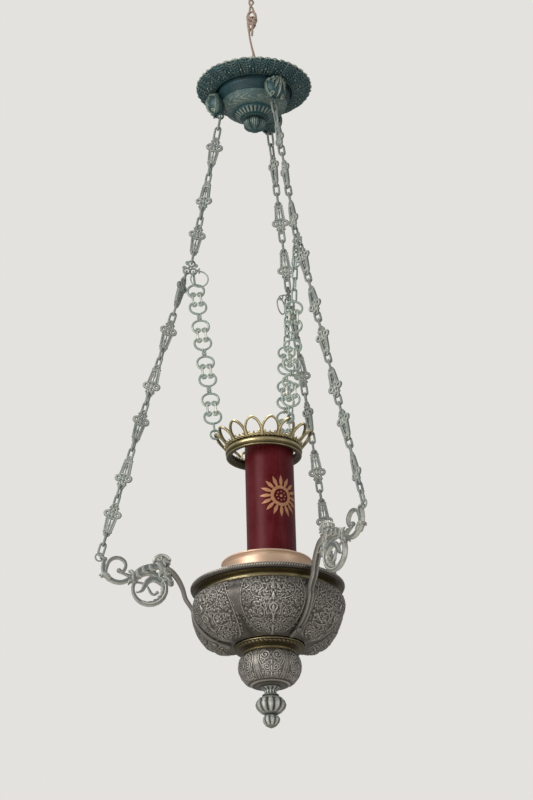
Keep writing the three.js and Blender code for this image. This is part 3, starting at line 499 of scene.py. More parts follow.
finishes = {
    # Copper alloy gone blue-green: chalky where an edge rubs, blue-black in the hollows from patina and
    # painted shade
    "verdigrisBronze": {
        "groove": "#0c191c", "plain": "#2c4a4a", "crest": "#a3ab9a", "patina": "#1b4249", "metallic": 0.3,
        "rough": (0.38, 0.62), "cloudSize": 26, "cloudFrom": 0.42, "cloudShare": 0.75, "grainSize": 2.4,
        "grainTone": 0.42, "pitSize": 1.6, "edgeShare": 0.3, "bump": 0.45,
    },
    # Cast chain links with a thin grey-green patina worn to pale metal where they rub
    "patinatedChainBrass": {
        "groove": "#1e2223", "plain": "#848a83", "crest": "#d8d5c5", "patina": "#64777a", "metallic": 0.4,
        "rough": (0.4, 0.62), "cloudSize": 18, "cloudFrom": 0.47, "cloudShare": 0.7, "grainSize": 2.4,
        "grainTone": 0.28, "pitSize": 1.6, "edgeShare": 0.22, "bump": 0.25,
    },
    # Thin drawn wire with a pale blue-green bloom
    "patinatedWire": {
        "groove": "#33403d", "plain": "#7f9289", "crest": "#d8d6c4", "patina": "#567f7e", "metallic": 0.4,
        "rough": (0.34, 0.58), "cloudSize": 14, "cloudFrom": 0.45, "cloudShare": 0.8, "grainSize": 1.4,
        "grainTone": 0.5, "pitSize": 1.0, "edgeShare": 0.5, "bump": 0.3,
    },
    # Spun brass, dull gold where hands polish it and brown where they don't; highlights and shade are painted
    # on by the relief tone
    "spunAgedBrass": {
        "groove": "#2b2313", "plain": "#7a6d4b", "crest": "#d6c698", "patina": "#5a5138", "metallic": 0.85,
        "rough": (0.26, 0.5), "cloudSize": 30, "cloudFrom": 0.45, "cloudShare": 0.6, "grainSize": 1.6,
        "grainTone": 0.3, "pitSize": 1.2, "edgeShare": 0.4, "bump": 0.22,
    },
    # Brass left to brown, for the chased collar
    "brownedBrass": {
        "groove": "#16120d", "plain": "#5d5239", "crest": "#bcae88", "patina": "#453c2b", "metallic": 0.8,
        "rough": (0.3, 0.5), "cloudSize": 24, "cloudFrom": 0.45, "cloudShare": 0.5, "grainSize": 1.5,
        "grainTone": 0.3, "pitSize": 1.1, "edgeShare": 0.4, "bump": 0.3,
    },
    # Embossed brass darkened to a grey brown, pale on the crests of its foliage
    "embossedDarkBrass": {
        "groove": "#171412", "plain": "#6d675f", "crest": "#d2cdc2", "patina": "#4f4a44", "metallic": 0.55,
        "rough": (0.36, 0.56), "cloudSize": 30, "cloudFrom": 0.44, "cloudShare": 0.5, "grainSize": 1.5,
        "grainTone": 0.36, "pitSize": 1.1, "edgeShare": 0.35, "bump": 0.5,
    },
    # Cast brackets and finials of the same alloy, greyer and a little blue from the damp air
    "castGreyBrass": {
        "groove": "#1f2223", "plain": "#7b7e78", "crest": "#d4d1c4", "patina": "#62706e", "metallic": 0.5,
        "rough": (0.38, 0.6), "cloudSize": 20, "cloudFrom": 0.46, "cloudShare": 0.7, "grainSize": 1.6,
        "grainTone": 0.45, "pitSize": 1.2, "edgeShare": 0.5, "bump": 0.4,
    },
    # Spun rim, almost black under its handling marks
    "darkenedBrass": {
        "groove": "#171410", "plain": "#58524a", "crest": "#b9b4a7", "patina": "#423d36", "metallic": 0.7,
        "rough": (0.3, 0.52), "cloudSize": 30, "cloudFrom": 0.45, "cloudShare": 0.6, "grainSize": 1.5,
        "grainTone": 0.35, "pitSize": 1.1, "edgeShare": 0.4, "bump": 0.3,
    },
    # Spun copper wiped to a satin, pale pink where it is worn
    "spunCopper": {
        "groove": "#7c573c", "plain": "#e2bfa2", "crest": "#f7dec6", "patina": "#c99b7a", "metallic": 0.6,
        "rough": (0.34, 0.52), "cloudSize": 45, "cloudFrom": 0.48, "cloudShare": 0.45, "grainSize": 1.8,
        "grainTone": 0.12, "pitSize": 1.4, "edgeShare": 0.2, "bump": 0.15,
    },
    # Forged iron with a dry brown-grey scale
    "forgedIron": {
        "groove": "#201d1b", "plain": "#4b4742", "crest": "#8a8379", "patina": "#5d4636", "metallic": 0.7,
        "rough": (0.45, 0.7), "cloudSize": 20, "cloudFrom": 0.5, "cloudShare": 0.6, "grainSize": 1.5,
        "grainTone": 0.4, "pitSize": 1.2, "edgeShare": 0.4, "bump": 0.4,
    },
}
materials = {name: agedMetal(name, look) for name, look in finishes.items()}


# Moulded translucent red shell: deep, glossy, with handling scuffs and a dusty bloom
tubeFinish = {
    "deep": "#4a060a", "worn": "#6f2b31", "glint": "#d08a90", "scuffSize": 8, "dustSize": 34, "bump": 0.12,
    "bumpHeight": 0.0006, "stretch": (1, 1, 0.12), "ior": 1.49, "coat": 0.06, "coatRough": 0.3,
}


def makeTubeMaterial(name, look):
    material, tree, shader, place = newMaterial(name)
    dust = noise(tree, place, look["dustSize"], 6, 0.7)
    upright = addNode(tree, "ShaderNodeMapping", {"Scale": look["stretch"]}, {"Vector": place})
    scuffs = noise(tree, upright.outputs[0], look["scuffSize"], 8, 0.8)
    both = calculated(tree, {"operation": "MULTIPLY"}, {"0": dust, "1": scuffs})
    share = ranged(tree, both, {"From Min": 0.2, "From Max": 0.42, "To Max": 0.55})
    colour = blended(tree, share, look["deep"], look["worn"])
    rough = ranged(tree, scuffs, {"From Min": 0.3, "From Max": 0.7, "To Min": 0.36, "To Max": 0.58})
    shader.inputs["IOR"].default_value = look["ior"]
    shader.inputs["Coat Weight"].default_value = look["coat"]
    shader.inputs["Coat Roughness"].default_value = look["coatRough"]
    shader.inputs["Specular Tint"].default_value = linear(look["glint"])
    links = {"Base Color": colour, "Roughness": rough}
    finishShader(tree, shader, links, scuffs, look["bump"], look["bumpHeight"])
    return material


# A plain material with one broken-up colour, for foil, wax, cotton and twine
def softMaterial(name, look):
    material, tree, shader, place = newMaterial(name)
    spots = noise(tree, place, look["size"], 6, 0.7)
    settings = {"operation": "MULTIPLY_ADD", "1": look["reliefShare"], "use_clamp": True}
    level = calculated(tree, settings, {"0": reliefOf(tree), "2": spots})
    colour = addNode(tree, "ShaderNodeValToRGB", links={"Fac": level})
    middle = 0.5 + look["reliefShare"] / 2
    setRamp(
        colour, [(max(middle - 0.3, 0), linear(look["low"])), (min(middle + 0.25, 1), linear(look["high"]))],
    )
    shader.inputs["Metallic"].default_value = look.get("metallic", 0)
    shader.inputs["Roughness"].default_value = look["rough"]
    shader.inputs["IOR"].default_value = look.get("ior", 1.5)
    if "sheen" in look:
        shader.inputs["Sheen Weight"].default_value = look["sheen"]
    if "glow" in look:  # light carried inside the wax
        shader.inputs["Subsurface Weight"].default_value = look["glow"]
        shader.inputs["Subsurface Scale"].default_value = 0.004
    links = {"Base Color": colour.outputs[0]}
    finishShader(tree, shader, links, spots, look["bump"], look["size"] / bumpDivisor)
    return material


softFinishes = {
    # Hot-stamped foil, dulled to a pale orange gold
    "stampedGoldFoil": {
        "low": "#93583a", "high": "#cf9a70", "size": 3, "reliefShare": 0, "rough": 0.45, "metallic": 0.3,
        "bump": 0.2,
    },
    # Poured paraffin, faintly yellow and soft at its edge
    "pouredParaffin": {
        "low": "#dccba5", "high": "#f1e6cc", "size": 12, "reliefShare": 0, "rough": 0.5, "ior": 1.43,
        "glow": 0.4, "bump": 0.2,
    },
    # Braided cotton, charred at its tip, with painted shade between its strands
    "braidedCotton": {
        "low": "#2c2620", "high": "#cfc2a6", "size": 2, "reliefShare": 0.7, "rough": 0.9, "sheen": 0.3,
        "bump": 0.6,
    },
    # Laid twine: matt brown-pink fibres, with painted shade between the strands
    "laidTwine": {
        "low": "#4c3424", "high": "#b59c88", "size": 1.4, "reliefShare": 0.9, "rough": 0.85, "sheen": 0.35,
        "bump": 0.8,
    },
}
materials["mouldedRedAcrylic"] = makeTubeMaterial("mouldedRedAcrylic", tubeFinish)
for name, look in softFinishes.items():
    materials[name] = softMaterial(name, look)
print("stage: materials made")


# From mm above the rim to metres under the ceiling
def toMetres(places):
    metres = np.asarray(places, float) / mmPerMetre
    metres[:, 2] += rimLevel / mmPerMetre
    return metres


# Makes the visible piece that stands for CAD nodes, riding on their body
def makePiece(name, shapes, body, finish, nodes, sharpAngle=38):
    points, quads, triangles = joinShapes(shapes) if isinstance(shapes, list) else shapes
    metres = toMetres(points[:, :3])
    mesh = bpy.data.meshes.new(name)
    mesh.from_pydata(metres.tolist(), [], quads.tolist() + triangles.tolist())
    mesh.validate()
    tones = mesh.attributes.new("relief", "FLOAT", "POINT")
    tones.data.foreach_set("value", np.clip(points[:, 3], 0, 1).astype(np.float32))
    mesh.polygons.foreach_set("use_smooth", [True] * len(mesh.polygons))
    mesh.set_sharp_from_angle(angle=math.radians(sharpAngle))
    mesh.materials.append(materials[finish])
    piece = bpy.data.objects.new(name, mesh)
    bpy.context.scene.collection.objects.link(piece)
    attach(piece, body)
    if nodes:
        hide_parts(*nodes)
    return piece


# Rope: one looped length each side of the knot. Points are x, y and the height above the rim.
ropeFacts = {
    "radius": 1.8, "strands": 3, "layLength": 13, "sides": 18, "core": 0.74, "strandProud": 0.3,
    "knotRadius": 2.5, "knotLayLength": 15, "tailRadius": 1.9,
}
upperRoute = [
    (-3.2, 0, 1041), (-3.2, 0, 1044), (-1.6, -2.6, 1050), (2.8, -1.6, 1057), (2.8, 2.2, 1063),
    (-2.4, 3.2, 1069), (-5.2, 1.2, 1075), (-5.2, 0, 1080), (0, 0, 1083.6), (5.2, 0, 1080), (5.2, -1.2, 1075),
    (2.4, -3.2, 1069), (-2.8, -2.2, 1063), (-2.8, 1.6, 1057), (1.6, 2.6, 1050), (3.2, 0, 1044),
    (3.2, 0, 1041),
]
lowerRoute = [
    (-5.4, -2.4, 1002), (-4.6, -3.2, 990), (-1.6, -3.8, 970), (2.4, -3, 952), (5, -1, 941), (5.6, 0, 934),
    (0, 0, 927), (-5.6, 0, 934), (-4.4, 1.4, 940), (-0.6, 3.2, 948), (0.8, 3.8, 958), (-1, 3.8, 970),
    (-4.2, 3.2, 990), (-5.2, 2.6, 1002),
]


def laidRope(path, radius, layLength):
    angle = np.arange(ropeFacts["sides"]) / ropeFacts["sides"] * 2 * math.pi
    lobe = np.abs(np.cos(angle * ropeFacts["strands"] / 2))
    outline = ropeFacts["core"] + ropeFacts["strandProud"] * lobe[:, None]
    section = np.column_stack([np.cos(angle), np.sin(angle)]) * outline
    along = np.concatenate([[0], np.cumsum(np.linalg.norm(np.diff(path, axis=0), axis=1))])
    # Its tone is low in the grooves between the strands: painted shade
    return swept(path, section, radius, tone=lobe, twist=along / layLength * 2 * math.pi)


knotLines = [
    curved([
        (-2, 1, 1041), (-5.2, -1.5, 1036), (-7, -3, 1028), (-6, -4.4, 1019), (-1.5, -6, 1013), (4, -5, 1014),
        (7.2, -1, 1022), (6, 3.4, 1030), (0.5, 5.6, 1033), (-5, 4, 1027), (-6.2, -1, 1017),
        (-5.6, -2.2, 1008), (-5.4, -2.4, 1003),
    ]),
    curved([
        (2, -1, 1041), (5.4, -3, 1035), (6.6, -4.8, 1027), (3, -6.4, 1021), (-2.5, -5.8, 1023),
        (-5, -2, 1030), (-1, 3.4, 1026), (4.6, 4, 1018), (1, 4.4, 1011), (-4.4, 3.2, 1006), (-5.2, 2.6, 1003),
    ]),
]
knotTail = curved([(1, -2, 1024), (1.6, -6.6, 1017), (0.8, -6, 1008), (0.4, -5, 1000), (-0.4, -4.6, 991)])
knotTwists = [laidRope(line, ropeFacts["knotRadius"], ropeFacts["knotLayLength"]) for line in knotLines]
knotTwists.append(laidRope(knotTail, ropeFacts["tailRadius"], ropeFacts["layLength"]))
ropeKnot = makePiece("rope_knot_tied", knotTwists, "rope_line", "laidTwine", ["rope_knot"])
for name, route in (("rope_upper", upperRoute), ("rope_lower", lowerRoute)):
    line = curved(route, 7)
    laid = laidRope(line, ropeFacts["radius"], ropeFacts["layLength"])
    rope = makePiece(name + "_laid", laid, "rope_line", "laidTwine", [name])
    toMetres(line)[0].tolist()
    toMetres(line).tolist()
print("stage: rope laid")

# Ceiling gear, out of the photograph's view
ceilingPlate = rounded([(0, 1135), (27, 1135), (32, 1137), (32, 1140), (0, 1140)], 0.8, 1)
makePiece(
    "ceiling_plate_spun", turned(ceilingPlate, 96), "ceiling_fitting", "darkenedBrass", ["ceiling_plate"],
)
eyeRing = moved(wireRing((0, 0), 12, 3.5, 48, 16), inArmPlane, (0, 0, 1104))
shank = turned(
    rounded([(0, 1114), (4, 1114), (4, 1127), (8, 1128.5), (8, 1132), (5, 1134.6), (0, 1134.6)], 0.6, 2), 40,
)
makePiece("screw_eye_forged", [eyeRing, shank], "ceiling_fitting", "forgedIron", ["screw_eye"])
hangingRing = moved(wireRing((0, 0), 10, 2.5, 48, 14), acrossArm, (0, 0, 1088.4))
makePiece("connecting_ring_bent", hangingRing, "hanging_loop", "forgedIron", ["connecting_ring"])
swivelRing = moved(wireRing((0, 0), 8, 2.2, 48, 14), acrossArm, (0, 0, 925))
swivelLine = rounded(
    [
        (0, 872), (3.5, 872), (3.5, 887.4), (8, 887.6), (8, 890.4), (4, 891.6), (3.6, 896), (4.4, 912),
        (3, 917.6), (0, 917.6),
    ],
    0.5, 2,
)
makePiece(
    "swivel_eye_turned", [swivelRing, turned(swivelLine, 40)], "rope_line", "forgedIron", ["swivel_eye"],
)
nutLine = np.array([(4.1, 873.6), (8.1, 873.6), (8.5, 874.2), (8.5, 879), (8.1, 879.6), (4.1, 879.6)])
makePiece("swivel_nut_cut", turned(nutLine, 6), "rope_line", "forgedIron", ["swivel_nut"], 20)

# Canopy: a dish with an embossed leaf edge over a stepped bell
canopyLook = {
    "sectors": 12, "sectorWide": 43, "bandDepth": 37, "bandFoot": 62.5, "relief": 2.0, "edgeLobes": 43,
    "edgeDepth": 2.4, "bandPlainUnder": 0.45, "bellPetals": 27, "flutes": 30, "budPetals": 6,
    # bands as the levels where each starts, is full, is full still and ends
    "petalBand": (23, 24.4, 31.6, 32.8), "petalTop": 838, "fluteBand": (12, 13.4, 18.4, 19.8),
    "fluteTop": 829, "garlandBand": (841, 843, 848, 851), "domeBand": (839.4, 840.4, 855, 858),
    "budBand": (805.5, 809, 823, 825.6),
}
outsideShare = 0.62  # the first part of an outline that is seen; the rest is the inside
dishPitch = 0.5


def smoothStep(value, low, high):
    t = np.clip((value - low) / (high - low), 0, 1)
    return t * t * (3 - 2 * t)


# 1 within a band and 0 outside it, with an eased edge on each side
def within(value, low, lowFull, highFull, high):
    return smoothStep(value, low, lowFull) * (1 - smoothStep(value, highFull, high))


# Two pointed leaves per sector, each with side lobes that curl out to the edge, and beads between them
def dishStrokes():
    strokes = []
    for middle, lean, reach in ((10.8, -1, 35), (32.2, 1.4, 34)):
        strokes.append((curved([(middle, 1), (middle + lean, 16), (middle, reach)], 8), [0.9, 1.5, 0.7], 1.0))
        for k in range(8):
            for sign in (-1, 1):
                y = 1 + 4.1 * k
                out = 4.6 + 0.7 * k + 1.6 * chance.random()
                tip = (middle + sign * out, y + 6 + 2.2 * chance.random())
                half = (middle + sign * out * 0.66, y + 1.8)
                strokes.append(
                    (curved([(middle, y), half, tip], 5), [0.8, 1.6, 0.6], 0.6 + 0.3 * chance.random())
                )
    for x, y in ((0.5, 9), (42.5, 9), (21.5, 8), (0.5, 24), (42.5, 24), (21.5, 25)):
        strokes.append((np.array([(x, y - 5), (x, y + 6)]), [0.5, 1.5, 0.5], 0.75))
    for x, y in ((21.5, 17), (0.2, 17), (42.8, 17), (15.8, 14), (27.2, 12), (5.4, 20), (37.6, 21)):
        strokes.append((np.array([(x, y), (x, y + 0.4)]), [1.9, 1.9], 1.35))
    return strokes


dishField = strokeField(canopyLook["sectorWide"], canopyLook["bandDepth"], dishPitch, dishStrokes())
dishShade = creased(dishField, 14)


def leafBand(angle, share, radius, height):
    x = (angle * canopyLook["sectors"] / (2 * math.pi)) % 1 * canopyLook["sectorWide"]
    y = radius - canopyLook["bandFoot"]
    under = height < 881.5 + 0.45 * (radius - 75)  # the underside of the sloping edge
    band = smoothStep(y, 2, 5) * (1 - 0.5 * smoothStep(y, 33, 36)) * under
    lobe = np.abs(np.cos(canopyLook["edgeLobes"] / 2 * angle + 0.5 * np.sin(5 * angle)))
    edge = smoothStep(radius, 91, 97.5)
    out = band * canopyLook["relief"] * (readField(dishField, x, y, dishPitch) - canopyLook["bandPlainUnder"])
    out = out - edge * canopyLook["edgeDepth"] * (1 - lobe**0.8) * (1 + 0.35 * np.sin(9 * angle))
    tone = 0.42 + 0.7 * band * readField(dishShade, x, y, dishPitch)
    tone = np.where(radius < 63.5, 0.34, tone)
    # A painted highlight on the dish's outer edge
    rim = smoothStep(radius, 94.6, 96.4) * (height > 887.5)
    return out, np.clip(tone + 0.55 * rim, 0, 1)


dishLine = rounded(
    [
        (4.2, 880), (62, 880), (64, 876.5), (66, 876.9), (74, 877), (84, 880), (92, 884), (97.6, 889),
        (97.4, 891), (95.2, 892), (80, 887), (4.2, 887),
    ],
    0.7, 2, True,
)
makePiece(
    "canopy_dish_embossed", turned(dishLine, 860, leafBand), "canopy", "verdigrisBronze", ["canopy_dish"],
)

bellLine = rounded(
    [
        (0, 828), (13, 828), (19.6, 828.4), (20.4, 829.6), (22.6, 829.8), (23.4, 830.8), (31.6, 836.4),
        (32.8, 837.6), (33.4, 839.4), (34.6, 839.4), (40, 841), (46, 844.6), (50.6, 849), (53.6, 854),
        (55.2, 856), (55, 858), (53.6, 859), (55, 861.4), (57, 865), (60, 870), (60.5, 872), (60.5, 879.6),
        (57, 879.6), (46, 856), (0, 847),
    ],
    0.6, 2,
)


def bellRelief(angle, share, radius, height):
    outside = share < outsideShare
    u = (angle * canopyLook["bellPetals"] / (2 * math.pi)) % 1 - 0.5
    petal = np.sqrt(np.clip(1 - (2 * u) ** 2, 0, 1))
    inPetals = within(radius, *canopyLook["petalBand"]) * (height < canopyLook["petalTop"]) * outside
    flute = 0.5 + 0.5 * np.cos(canopyLook["flutes"] * angle)
    inFlutes = within(radius, *canopyLook["fluteBand"]) * (height < canopyLook["fluteTop"]) * outside
    leafy = within(height, *canopyLook["garlandBand"]) * outside
    garland = np.cos(10 * angle + 1.6 * np.sin(0.7 * height)) ** 6
    out = inPetals * (1.5 * petal - 0.9) + 0.5 * inFlutes * flute + 0.55 * leafy * garland
    dome = within(height, *canopyLook["domeBand"]) * outside
    # The band above 860 mm, under the dish, is darkened: painted shade
    cavetto = smoothStep(height, 859, 860.5) * outside
    tone = 0.45 + 0.14 * dome + inPetals * (petal - 0.7) + 0.4 * inFlutes * (flute - 0.5)
    tone = tone + 0.1 * leafy * garland
    return out, tone - 0.2 * cavetto


makePiece("canopy_bell_spun", turned(bellLine, 540, bellRelief), "canopy", "verdigrisBronze", ["canopy_bell"])

budLine = rounded(
    [
        (0, 803.5), (2.2, 804), (4.4, 806), (8.6, 808), (14.6, 811), (18, 814.6), (19, 819.5), (17.6, 822.6),
        (14, 825.6), (12.5, 827.6), (0, 827.6),
    ],
    0.5, 2,
)


def budRelief(angle, share, radius, height):
    u = (angle * canopyLook["budPetals"] / (2 * math.pi)) % 1 - 0.5
    petal = np.clip(1 - (2 * u) ** 2, 0, 1) ** 0.4
    ribs = np.cos(5 * math.pi * u) ** 2
    body = within(height, *canopyLook["budBand"])
    return body * (1.9 * petal + 0.35 * ribs - 1.9), 0.5 + body * (0.5 * petal + 0.25 * ribs - 0.5)


makePiece("canopy_bud_petalled", turned(budLine, 240, budRelief), "canopy", "verdigrisBronze", ["canopy_bud"])


# Foliate lug: a cartouche with curled leaves along its top, a palmette down its face, scrolled sides and the
# chain's eye under it
lugLook = {
    "centre": (64, 856), "radii": (14.5, 18.4, 18.4), "leaves": 5, "spread": 118, "rootHeight": 871,
    "length": 33, "leafWidth": 4.6, "notchAt": 17, "topCurls": (-15, -9, -3, 3, 9, 15),
}


# Radius of the cartouche's face at a sideways distance and a height
def lugFace(across, height, proud=0.0):
    deep, wide, tall = lugLook["radii"]
    inside = 1 - (across / wide) ** 2 - ((height - lugLook["centre"][1]) / tall) ** 2
    return lugLook["centre"][0] + deep * np.sqrt(np.clip(inside, 0.02, 1)) + proud


def makeLug():
    middle, top = lugLook["centre"]
    shapes = [ball((middle, 0, top), lugLook["radii"], 40)]
    for i in range(lugLook["leaves"]):
        spread = (i / (lugLook["leaves"] - 1) - 0.5) * math.radians(lugLook["spread"])
        along = np.linspace(0.04, 1, 14) * lugLook["length"] * (1 - 0.42 * abs(math.sin(spread)))
        across = np.sin(spread) * along * (1 - 0.012 * along)
        height = lugLook["rootHeight"] - np.cos(spread) * along
        line = np.column_stack([lugFace(across, height, 0.3), across, height])
        wide = np.interp(np.linspace(0, 1, 14), [0, 0.45, 1], [1.4, lugLook["leafWidth"] * 0.78, 1.0])
        shapes.append(roundStrip(line, 10, np.column_stack([wide, wide * 0.8]), tone=0.55))
        shapes.append(roundStrip(line + (2.0, 0, 0), 6, taper(14, 0.8, 0.5, 0.4), tone=0.85))
        if i:  # a deep notch between two leaves
            notch = spread - 0.5 * math.radians(lugLook["spread"]) / (lugLook["leaves"] - 1)
            sideways, down = math.sin(notch) * lugLook["notchAt"], math.cos(notch) * lugLook["notchAt"]
            shapes.append(
                ball((lugFace(0, 850) - 1.5, sideways, lugLook["rootHeight"] - down), (1.6, 1.3, 2.6), 8)
            )
    for across in lugLook["topCurls"]:
        height = 871.2 - 0.022 * across**2
        radius = lugFace(across, height, 0.5)
        shapes.append(ball((radius - 1.5, across, height), (4.6, 3.4, 3.6), 14))
        coil = spiralLine((across, height), 3.0, 0.7, 250, 1.15 if across < 0 else -1.15, 20)
        line = np.column_stack([np.linspace(radius + 2.2, radius + 3.2, 20), coil[:, 0], coil[:, 1]])
        shapes.append(roundStrip(line, 7, taper(20, 1.1, 0.8), tone=0.75))
    for sign in (-1, 1):  # scrolled side bands laid on the cartouche's edge, with a volute at each foot
        side = curved([(15.6, 868), (18.4, 861), (18.6, 854), (16.8, 846.5), (13, 840.6), (9.6, 837.4)], 6)
        line = np.column_stack([63.5 - 0.1 * (side[:, 1] - 854) / 14, sign * side[:, 0], side[:, 1]])
        width = taper(len(line), 1.5, 1.5, 0.5)
        shapes.append(roundStrip(line, 10, np.column_stack([width, width * 2]), (1, 0, 0), 0.56))
        volute = spiralLine((sign * 9.6, 840.6), 3.6, 0.9, 250, sign * 1.2, 22)
        line = np.column_stack([lugFace(np.abs(volute[:, 0]), volute[:, 1], 1.0), volute[:, 0], volute[:, 1]])
        shapes.append(roundStrip(line, 8, taper(22, 1.5, 1.0), tone=0.75))
    eye = uprightShape(wireRing((57, 834), 4.6, 1.6, 32, 10))
    neck = roundStrip(
        [(60.5, 0, 846), (59, 0, 842), (57.8, 0, 840.4), (57.2, 0, 838.6)], 10, taper(4, 5.0, 2.4),
    )
    return joinShapes(shapes + [eye, neck])


lugShape = makeLug()
for side, azimuth in arms.items():
    makePiece(
        f"chain_lug_{side}_foliate", turnedBy(lugShape, azimuth), "canopy", "verdigrisBronze",
        [f"chain_lug_{side}"],
    )
print("stage: canopy made")


# Main chains: cast links with two open scroll rings, joined by pairs of small wire ovals
chainFacts = {
    "top": (57, 833.3), "junction": (111, 550), "wire": 1.85, "ovalRadius": 4.4, "ovalLength": 20,
    "overlap": 2.1, "ovalTurn": 78, "eyeAt": 23.4, "eyeRadius": 3.8, "eyeWire": 2.0, "railHalf": 2.7,
    "linkThick": 2.3,
    "upperLinks": (70, 153.5, 237), "lowerLinks": (39.5, 121, 202.5, 284, 365.5, 447),
    "slack": 0.6,  # mm from the centre of a plate's hole to where the chain pulls on its rim
}
# How each cast link hangs, from the top down: discs up or down, and its twist about the chain in degrees
linkHang = {
    "left": (("up", "down", "up"), ("up", "up", "down", "up", "down", "up")),
    "right": (("down", "up", "down"), ("up", "down", "up", "down", "up", "down")),
    "back": (("up", "down", "down"), ("up", "down", "up", "down", "down", "up")),
}
linkTwists = {
    "left": ((0, 20, 10), (60, 15, 0, 20, 10, 0)),
    "right": ((10, -8, 5), (12, -5, 10, -10, 5, 12)),
    "back": ((60, 65, 60), (60, 55, 60, 65, 55, 65)),
}
plateHoles = {"top": (-2, 7), "outer": (6, -6), "inner": (-4.5, -7)}
endRing = {"radius": 6.35, "wire": 1.3, "centre": (256.4, 52.5), "slack": 2.8}


def castLink():
    thick, rails = chainFacts["linkThick"], chainFacts["railHalf"]
    oval = roundSection(12)
    shapes = [
        wireRing((0, chainFacts["eyeAt"]), chainFacts["eyeRadius"], chainFacts["eyeWire"]),
        wireRing((0, -chainFacts["eyeAt"]), chainFacts["eyeRadius"], chainFacts["eyeWire"]),
        swept(inPlane([(-4.4, -17.4), (0, -18), (4.4, -17.4)]), oval, (2.0, thick), (0, 0, 1)),
        swept(inPlane([(-5, 3.4), (0, 2.6), (5, 3.4)]), oval, (2.0, thick * 1.1), (0, 0, 1)),
        ball((0, 9.2, 0), (3.6, 6.2, thick * 1.3), 18),
        ball((0, 17.2, 0), (3.2, 3.4, thick * 1.2), 16),
        swept(
            inPlane([(0, -18), (0, -13), (0, -9), (0, -5), (0, 2.6)]), oval,
            np.array([0.8, 1.0, 1.9, 1.0, 0.8]),
        ),
    ]
    for sign in (-1, 1):
        flip = np.array([sign, 1])
        rail = curved(np.array([(2.4, -21.4), (4.2, -17.5), (5.0, -10), (5.7, -2), (6.2, 3.2)]) * flip, 5)
        railSizes = np.column_stack([np.full(len(rail), rails), np.full(len(rail), thick)])
        shapes.append(swept(inPlane(rail), castSection, railSizes, (0, 0, 1), tone=castTone))
        shapes.append(wireRing((sign * 8.0, 9.8), 3.9, 2.5, 26, 10))
        brace = curved(np.array([(5.4, 16), (4.0, 18.4), (2.8, 20.6)]) * flip, 4)
        shapes.append(swept(inPlane(brace), oval, (2.0, thick), (0, 0, 1)))
        shapes.append(ball((sign * 6.0, 20.6, 0), (2.0, 2.0, 1.9)))
        shapes.append(ball((sign * 5.6, -20.4, 0), (1.9, 1.9, 1.8)))
    shape = joinShapes(shapes)
    shape[0][:, 3] = 0.26 + 0.36 * np.clip(np.abs(shape[0][:, 2]) / thick, 0, 1)
    return shape


linkShape = castLink()


# Interlinked ovals that fill a gap between two wire centres, each turned about a right angle from the last
def ovalsBetween(at, up, start, end, firstTwist, wire):
    span = end - start
    overlap = chainFacts["overlap"] * wire
    count = max(1, round(span / chainFacts["ovalLength"]))
    half = (span + (count - 1) * overlap) / count / 2
    shapes = []
    for i in range(count):
        middle = start + half + i * (2 * half - overlap)
        radius = min(chainFacts["ovalRadius"], half)
        twist = firstTwist + (i % 2) * chainFacts["ovalTurn"]
        shapes.append(placed(wireOval(radius, wire, half), at(middle), up, twist))
    return shapes


# The direction from one place to another, the distance, and a function for the places between them
def straightLine(start, end):
    start, end = np.asarray(start, float), np.asarray(end, float)
    length = np.linalg.norm(end - start)
    down = (end - start) / length

    def at(distance):
        return start + down * distance

    return down, length, at


# One straight stretch of a main chain: cast links at their distances, joined by ovals
def chainStretch(start, end, links, discs, twists):
    down, length, at = straightLine(start, end)
    ups = [-down if disc == "up" else down for disc in discs]
    shapes = [placed(linkShape, at(d), up, twist) for d, up, twist in zip(links, ups, twists)]
    hold = chainFacts["eyeAt"] + chainFacts["eyeRadius"] - chainFacts["eyeWire"] - chainFacts["wire"]
    starts = [0] + [d + hold for d in links]
    ends = [d - hold for d in links] + [length]
    for i, (first, last) in enumerate(zip(starts, ends)):
        square = i == 0 or i == len(links)
        twist = 90 if square else 60 + 0.5 * (twists[i - 1] + twists[i])
        shapes += ovalsBetween(at, -down, first, last, twist, chainFacts["wire"])
    return joinShapes(shapes)


def fromJunction(place):
    return np.asarray(chainFacts["junction"], float) + place


upperEnd = towards(fromJunction(plateHoles["top"]), chainFacts["top"], chainFacts["slack"])
lowerStart = towards(fromJunction(plateHoles["outer"]), endRing["centre"], chainFacts["slack"])
lowerEnd = towards(endRing["centre"], lowerStart, endRing["slack"])
lastRing = uprightShape(wireRing(endRing["centre"], endRing["radius"], endRing["wire"], 36, 10))


# Where the crown chain leaves: three eyes on a small pierced plate, and an eye for the loose ring
def makeJunction():
    places = {key: fromJunction(place) for key, place in plateHoles.items()}
    shapes = [wireRing(place, 5.2, 1.55, 30, 10) for place in places.values()]
    for first, second in (("top", "outer"), ("outer", "inner"), ("inner", "top")):
        line = rounded([places[first], places[second]], 1.2, 0)
        between = [p for p in line if min(np.linalg.norm(p - q) for q in places.values()) > 4.6]
        if len(between) > 1:
            shapes.append(roundStrip(inPlane(between), 8, (1.6, 1.5), (0, 0, 1)))
    for centre, start, turns in (((102, 553), 0, 1.3), ((121, 549.5), 200, -1.2), ((115.4, 559), 240, 1.1)):
        curl = spiralLine(centre, 3.4, 0.9, start, turns, 22)
        shapes.append(roundStrip(inPlane(curl), 8, taper(22, 1.5, 1.1), (0, 0, 1)))
    flat = uprightShape(joinShapes(shapes))
    eye = moved(wireRing((0, 0), 3.8, 1.15, 26, 9), acrossArm, (97, 8.2, 540))
    armLine = curved([(103, 0.5, 544.2), (100, 1.6, 544.2), (97.6, 4.6, 544), (97, 7.8, 543.6)], 5)
    return joinShapes([flat, eye, roundStrip(armLine, 9, 1.25)])


junctionShape = makeJunction()
looseRing = moved(wireRing((0, 0), 14, 1.2, 64, 8), inArmPlane, (97, 8.2, 524.9))

